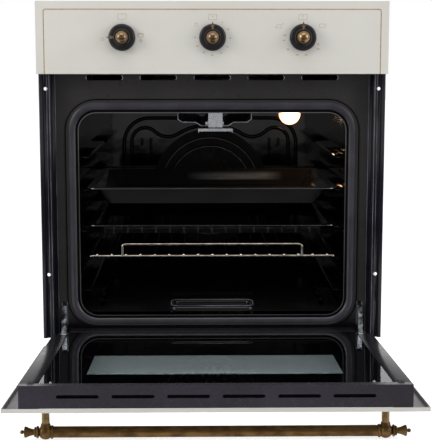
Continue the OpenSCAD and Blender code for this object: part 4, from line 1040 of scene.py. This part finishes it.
PRINT_T = 0.00006
PANEL_LOW, PANEL_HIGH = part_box("control_panel")
PANEL_FACE = PANEL_LOW.y
BORDER_INSET = 13.7 * MM
BORDER_CORNER = 4 * MM
BORDER_W = 1.5 * MM
SIGN_W = 0.45
MARK_W = 0.35
NUMBER_H = 2.5
FONT_PER_HEIGHT = 1.35
NUMBER_BOLDER = 0.05 * MM
TIMER_STEPS = 9
TIMER_FIRST, TIMER_TURN = 57, 29.6
TIMER_REACH_X, TIMER_REACH_Z = 29.8, 29.6
HEATS = (
    (-31, 3.4, "140"),
    (-32, -5, "160"),
    (-25, -20, "180"),
    (-9, -29, "200"),
    (6, -29, "220"),
    (26, -19.5, "240"),
)
KNOBS = {}
for knob in ("selector", "timer", "thermostat"):
    low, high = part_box(knob + "_skirt")
    KNOBS[knob] = ((low.x + high.x) / 2, (low.z + high.z) / 2)


def border_line():
    """The hairline that runs up both sides of the panel and across its top."""
    left, right = PANEL_LOW.x + BORDER_INSET, PANEL_HIGH.x - BORDER_INSET
    top = PANEL_HIGH.z - BORDER_INSET
    bend_z = top - BORDER_CORNER
    points = [(left, PANEL_LOW.z)]
    points += arc(left + BORDER_CORNER, bend_z, BORDER_CORNER, 180, 90, 8)
    points += arc(right - BORDER_CORNER, bend_z, BORDER_CORNER, 90, 0, 8)
    points.append((right, PANEL_LOW.z))
    work = bmesh.new()
    stroke(work, points, BORDER_W, PANEL_FACE, PRINT_T)
    show(work, "panel_border", "gold", "oven")


def line(*points):
    return (False, points)


def loop(points):
    return (True, points)


def box_sign(w, h):
    return loop(frame_points(w, h, 1))


def round_sign(r):
    return loop(arc(0, 0, r, 0, 345, 15))


def draw_sign(work, knob, at, *lines, width=SIGN_W):
    """Lines and loops round a point beside a knob."""
    x0, z0 = KNOBS[knob]
    for closed, points in lines:
        placed = [(x0 + (at[0] + x) * MM, z0 + (at[1] + z) * MM) for x, z in points]
        stroke(work, placed, width * MM, PANEL_FACE, PRINT_T, closed)


def draw_mark(work, knob, degrees, start, end):
    """A short line that points at a knob's middle."""
    turn = math.radians(degrees)
    mark = [(r * math.cos(turn), r * math.sin(turn)) for r in (start, end)]
    draw_sign(work, knob, (0, 0), line(*mark), width=MARK_W)


def write_number(work, knob, at, value):
    """A plain number, turned into a mesh before it is put in place."""
    curve = bpy.data.curves.new("number", "FONT")
    curve.body = value
    curve.size = FONT_PER_HEIGHT * NUMBER_H * MM
    curve.align_x = "CENTER"
    curve.align_y = "CENTER"
    curve.offset = NUMBER_BOLDER
    curve.extrude = PRINT_T / 2
    holder = bpy.data.objects.new("number", curve)
    scene.collection.objects.link(holder)
    made = bpy.data.meshes.new_from_object(holder)
    bpy.data.objects.remove(holder)
    x0, z0 = KNOBS[knob]
    spot = Vector((x0 + at[0] * MM, PANEL_FACE - PRINT_T / 2, z0 + at[1] * MM))
    made.transform(Matrix.Translation(spot) @ Matrix.Rotation(math.pi / 2, 4, "X"))
    work.from_mesh(made)


def selector_print():
    """Oven icon above, lamp and fan icons to the right, a ring to the left."""
    work = bmesh.new()
    knob = "selector"
    draw_sign(work, knob, (0, 34.7), box_sign(14, 9), line((0, 2), (0, 4)))
    draw_sign(work, knob, (0, 26.4), line((0, -1.4), (0, 1.4)))
    draw_sign(work, knob, (31, 3.4), box_sign(10, 6), line(*arc(0, -1.6, 4.4, 20, 160, 10)))
    draw_sign(work, knob, (31, -5.6), round_sign(2.4), line((-2, 0), (2, 0)))
    draw_sign(work, knob, (-33.5, -2.8), round_sign(2.6), line((0, -1.2), (0, 1.2)))
    show(work, "selector_print", "gold", "oven")


def timer_print():
    """Nine steps round the dial, with a clock icon above and a hand icon at the left."""
    work = bmesh.new()
    knob = "timer"
    hands = (line((0, 0), (2.6, 2)), line((0, 0), (-2, 2.4)))
    draw_sign(work, knob, (0, 34), box_sign(14, 9), *hands)
    draw_sign(work, knob, (-27.6, 20.9), box_sign(4.7, 5), line((-1, 3.4), (1, 3.4)))
    for step in range(TIMER_STEPS):
        degrees = TIMER_FIRST - TIMER_TURN * step
        turn = math.radians(degrees)
        at = (TIMER_REACH_X * math.cos(turn), TIMER_REACH_Z * math.sin(turn))
        write_number(work, knob, at, str(10 + 10 * step))
        draw_mark(work, knob, degrees, 25, 26.6)
    show(work, "timer_print", "gold", "oven")


def thermostat_print():
    """Heats in degrees round the dial, with grill and plate icons."""
    work = bmesh.new()
    knob = "thermostat"
    stem = (line((0, -2.4), (0, 2.4)), line((-1.4, 2.4), (1.4, 2.4)))
    hood = loop([(-5.5, -2.5), (5.5, -2.5), (4, 2.4), (-3, 2.4)])
    wedge = loop([(-1.6, -1.2), (1.6, -1.2), (0, 1.8)])
    draw_sign(work, knob, (0, 34), box_sign(14, 9), *stem)
    draw_sign(work, knob, (-41, 18.5), hood)
    draw_sign(work, knob, (-33.5, 22.5), round_sign(0.9))
    draw_sign(work, knob, (32.8, 19.7), box_sign(10, 5.5))
    draw_sign(work, knob, (26.5, -11), wedge)
    for x, z, heat in HEATS:
        write_number(work, knob, (x, z), heat)
    for degrees in (145, 133, -40):
        draw_mark(work, knob, degrees, 24.6, 27.4)
    show(work, "thermostat_print", "gold", "oven")


border_line()
selector_print()
timer_print()
thermostat_print()


# Knobs

GROOVE_IN, GROOVE_OUT = 11.1 * MM, 12.9 * MM
GROOVE_FOOT, GROOVE_TOP = 0.85 * MM, 1.15 * MM
NOTCHES = 30
NOTCH = ((0.0127, -0.0029, -0.00045), (0.0141, -0.0004, 0.00045))


def dark_face(knob):
    """The dark groove in a knob's brass cap and the dark notches round it."""
    body = body_of(knob + "_skirt")
    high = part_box(knob + "_cap")[1]
    x, z = KNOBS[knob]
    groove = bmesh.new()
    profile = [
        (GROOVE_IN, GROOVE_FOOT),
        (GROOVE_OUT, GROOVE_FOOT),
        (GROOVE_OUT, GROOVE_TOP),
        (GROOVE_IN, GROOVE_TOP),
    ]
    turned(groove, [*profile, profile[0]], (x, high.y, z), (0, -1, 0), 96)
    show(groove, knob + "_groove", "phenolic", body)
    teeth = bmesh.new()
    for i in range(NOTCHES):
        grown = block(teeth, *NOTCH)
        turn = Matrix.Rotation(math.tau * i / NOTCHES, 4, "Y")
        shift = Matrix.Translation((x, high.y, z)) @ turn
        bmesh.ops.transform(teeth, verts=grown, matrix=shift)
    show(teeth, knob + "_notches", "phenolic", body)


for knob in KNOBS:
    dark_face(knob)


# Door glass

PRINT_DEPTHS = (0.0343, 0.0342)
PRINT_OUTER = ((-0.2472, 0.0486), (0.2472, 0.0486), (0.2472, 0.4530), (-0.2472, 0.4530))
PRINT_WINDOW = ((-0.1860, 0.2560), (0.1850, 0.2560), (0.1850, 0.3925), (-0.1860, 0.3925))


def printed_border():
    """The black print fused into the inner glass, with the clear window left in it."""
    work = bmesh.new()
    rings = []
    for depth in PRINT_DEPTHS:
        for outline in (PRINT_OUTER, PRINT_WINDOW):
            spots = [DOOR_SWING @ Vector((x, DOOR_FACE_Y + depth, z)) for x, z in outline]
            rings.append([work.verts.new(spot) for spot in spots])
    top_out, top_in, low_out, low_in = rings
    for k in range(4):
        n = (k + 1) % 4
        work.faces.new((top_out[k], top_out[n], top_in[n], top_in[k]))
        work.faces.new((low_out[k], low_in[k], low_in[n], low_out[n]))
        work.faces.new((top_out[k], low_out[k], low_out[n], top_out[n]))
        work.faces.new((top_in[k], top_in[n], low_in[n], low_in[k]))
    show(work, "glass_print", "print", "door")


printed_border()

# A dark sheet behind the slots of the door's top bar: painted shade for the door's dim inside
door_block("slot_shade_sheet", "slot_shade", *SLOT_SHADE_SHEET)


# Studio

FLOOR_DROP = 0.002
FLOOR_SIZE = 24
PAPER = (0.8, 0.8, 0.8, 1)
PAPER_GLOW = 0.74
ROOM_STRENGTH = 0.48
WHITE = (1, 1, 1, 1)
UNLIT = (0.012, 0.012, 0.014, 1)
DARK_NEAR = (-0.95, -0.75)
DARK_FAR = (-5.3, -4.2)
DARK_WIDE = (2.6, 3.4)
ROOM_FRONT = (-0.80, -0.62)
ROOM_LOW = (0.09, 0.15)
ROOM_HIGH = (0.70, 0.85)
GLOW_POWER = 0.09
GLOW_COLOUR = (1.0, 0.50, 0.16)
GLOW_RADIUS = 0.010
GLOW_AHEAD = 0.014
SOFT_LIGHTS = (
    ("key", (-2.4, -1.7, 1.3), (0, -0.3, 0.35), (1.0, 1.4), 33),
    ("fill", (2.4, -1.6, 1.1), (0, -0.3, 0.35), (1.0, 1.4), 24),
    ("top", (0, -1.6, 2.6), (0, -0.3, 0.2), (2.0, 1.2), 17),
)


def background_white(owner, plain, white):
    """Mixes in the white background wherever it is seen, reflected or looked through."""
    path = add(owner.node_tree, "ShaderNodeLightPath")
    for seen in ("Is Camera Ray", "Is Glossy Ray", "Is Transmission Ray"):
        plain = blend(owner, path.outputs[seen], plain, white)
    return plain


def dark_front(owner, plain, unlit, *bounds):
    """The unlit room in front of the set, which only glossy rays see."""
    share = add(owner.node_tree, "ShaderNodeLightPath").outputs["Is Glossy Ray"]
    return blend(owner, within(owner, share, *bounds), plain, unlit)


def light_world():
    world = bpy.data.worlds.new("studio")
    scene.world = world
    world.use_nodes = True
    tree = world.node_tree
    room = tree.nodes["Background"]
    room.inputs["Color"].default_value = WHITE
    room.inputs["Strength"].default_value = ROOM_STRENGTH
    white = add(tree, "ShaderNodeBackground", {"Color": WHITE, "Strength": 1.0})
    unlit = add(tree, "ShaderNodeBackground", {"Color": UNLIT, "Strength": 1.0})
    ahead, up = (along_axis(world, axis, "Generated") for axis in "YZ")
    seen = dark_front(
        world,
        background_white(world, room.outputs[0], white.outputs[0]),
        unlit.outputs[0],
        (ahead, 1, 0, ROOM_FRONT),
        (up, 0, 1, ROOM_LOW),
        (up, 1, 0, ROOM_HIGH),
    )
    tree.links.new(seen, tree.nodes["World Output"].inputs["Surface"])


def floor_paper():
    """White paper that glows for the eye and is matt for the light."""
    paper = bpy.data.materials.new("paper")
    paper.use_nodes = True
    tree = paper.node_tree
    tree.nodes.remove(tree.nodes["Principled BSDF"])
    matt = add(tree, "ShaderNodeBsdfDiffuse", {"Color": PAPER})
    glow = add(tree, "ShaderNodeEmission", {"Strength": PAPER_GLOW})
    both = add(tree, "ShaderNodeAddShader")
    tree.links.new(matt.outputs[0], both.inputs[0])
    tree.links.new(glow.outputs[0], both.inputs[1])
    unlit = add(tree, "ShaderNodeBsdfDiffuse", {"Color": UNLIT})
    ahead = along_axis(paper, "Y")
    seen = dark_front(
        paper,
        background_white(paper, matt.outputs[0], both.outputs[0]),
        unlit.outputs[0],
        (ahead, 1, 0, DARK_NEAR),
        (ahead, 0, 1, DARK_FAR),
        (reckon(paper, "ABSOLUTE", along_axis(paper, "X")), 1, 0, DARK_WIDE),
    )
    tree.links.new(seen, tree.nodes["Material Output"].inputs["Surface"])
    return paper


def lay_floor():
    work = bmesh.new()
    at = Matrix.Translation((0, 0, cad_box[0].z - FLOOR_DROP))
    bmesh.ops.create_grid(work, x_segments=1, y_segments=1, size=FLOOR_SIZE / 2, matrix=at)
    mesh = bpy.data.meshes.new("floor")
    work.to_mesh(mesh)
    work.free()
    mesh.materials.append(floor_paper())
    floor = bpy.data.objects.new("floor", mesh)
    scene.collection.objects.link(floor)


def lamp_glow():
    """The warm light of the oven's own lamp, which glints on the pressings round it."""
    low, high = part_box("lamp_glass")
    data = bpy.data.lights.new("lamp_glow", "POINT")
    data.energy = GLOW_POWER
    data.color = GLOW_COLOUR
    data.shadow_soft_size = GLOW_RADIUS
    glow = bpy.data.objects.new("lamp_glow", data)
    scene.collection.objects.link(glow)
    glow.location = ((low.x + high.x) / 2, low.y - GLOW_AHEAD, (low.z + high.z) / 2)
    glow.visible_camera = False


def soft_light(name, at, aim, size, power):
    data = bpy.data.lights.new(name, "AREA")
    data.shape = "RECTANGLE"
    data.size, data.size_y = size
    data.energy = power
    lamp = bpy.data.objects.new(name, data)
    scene.collection.objects.link(lamp)
    lamp.location = at
    toward = Vector(aim) - Vector(at)
    lamp.rotation_euler = toward.to_track_quat("-Z", "Y").to_euler()


light_world()
lay_floor()
lamp_glow()
for light in SOFT_LIGHTS:
    soft_light(*light)
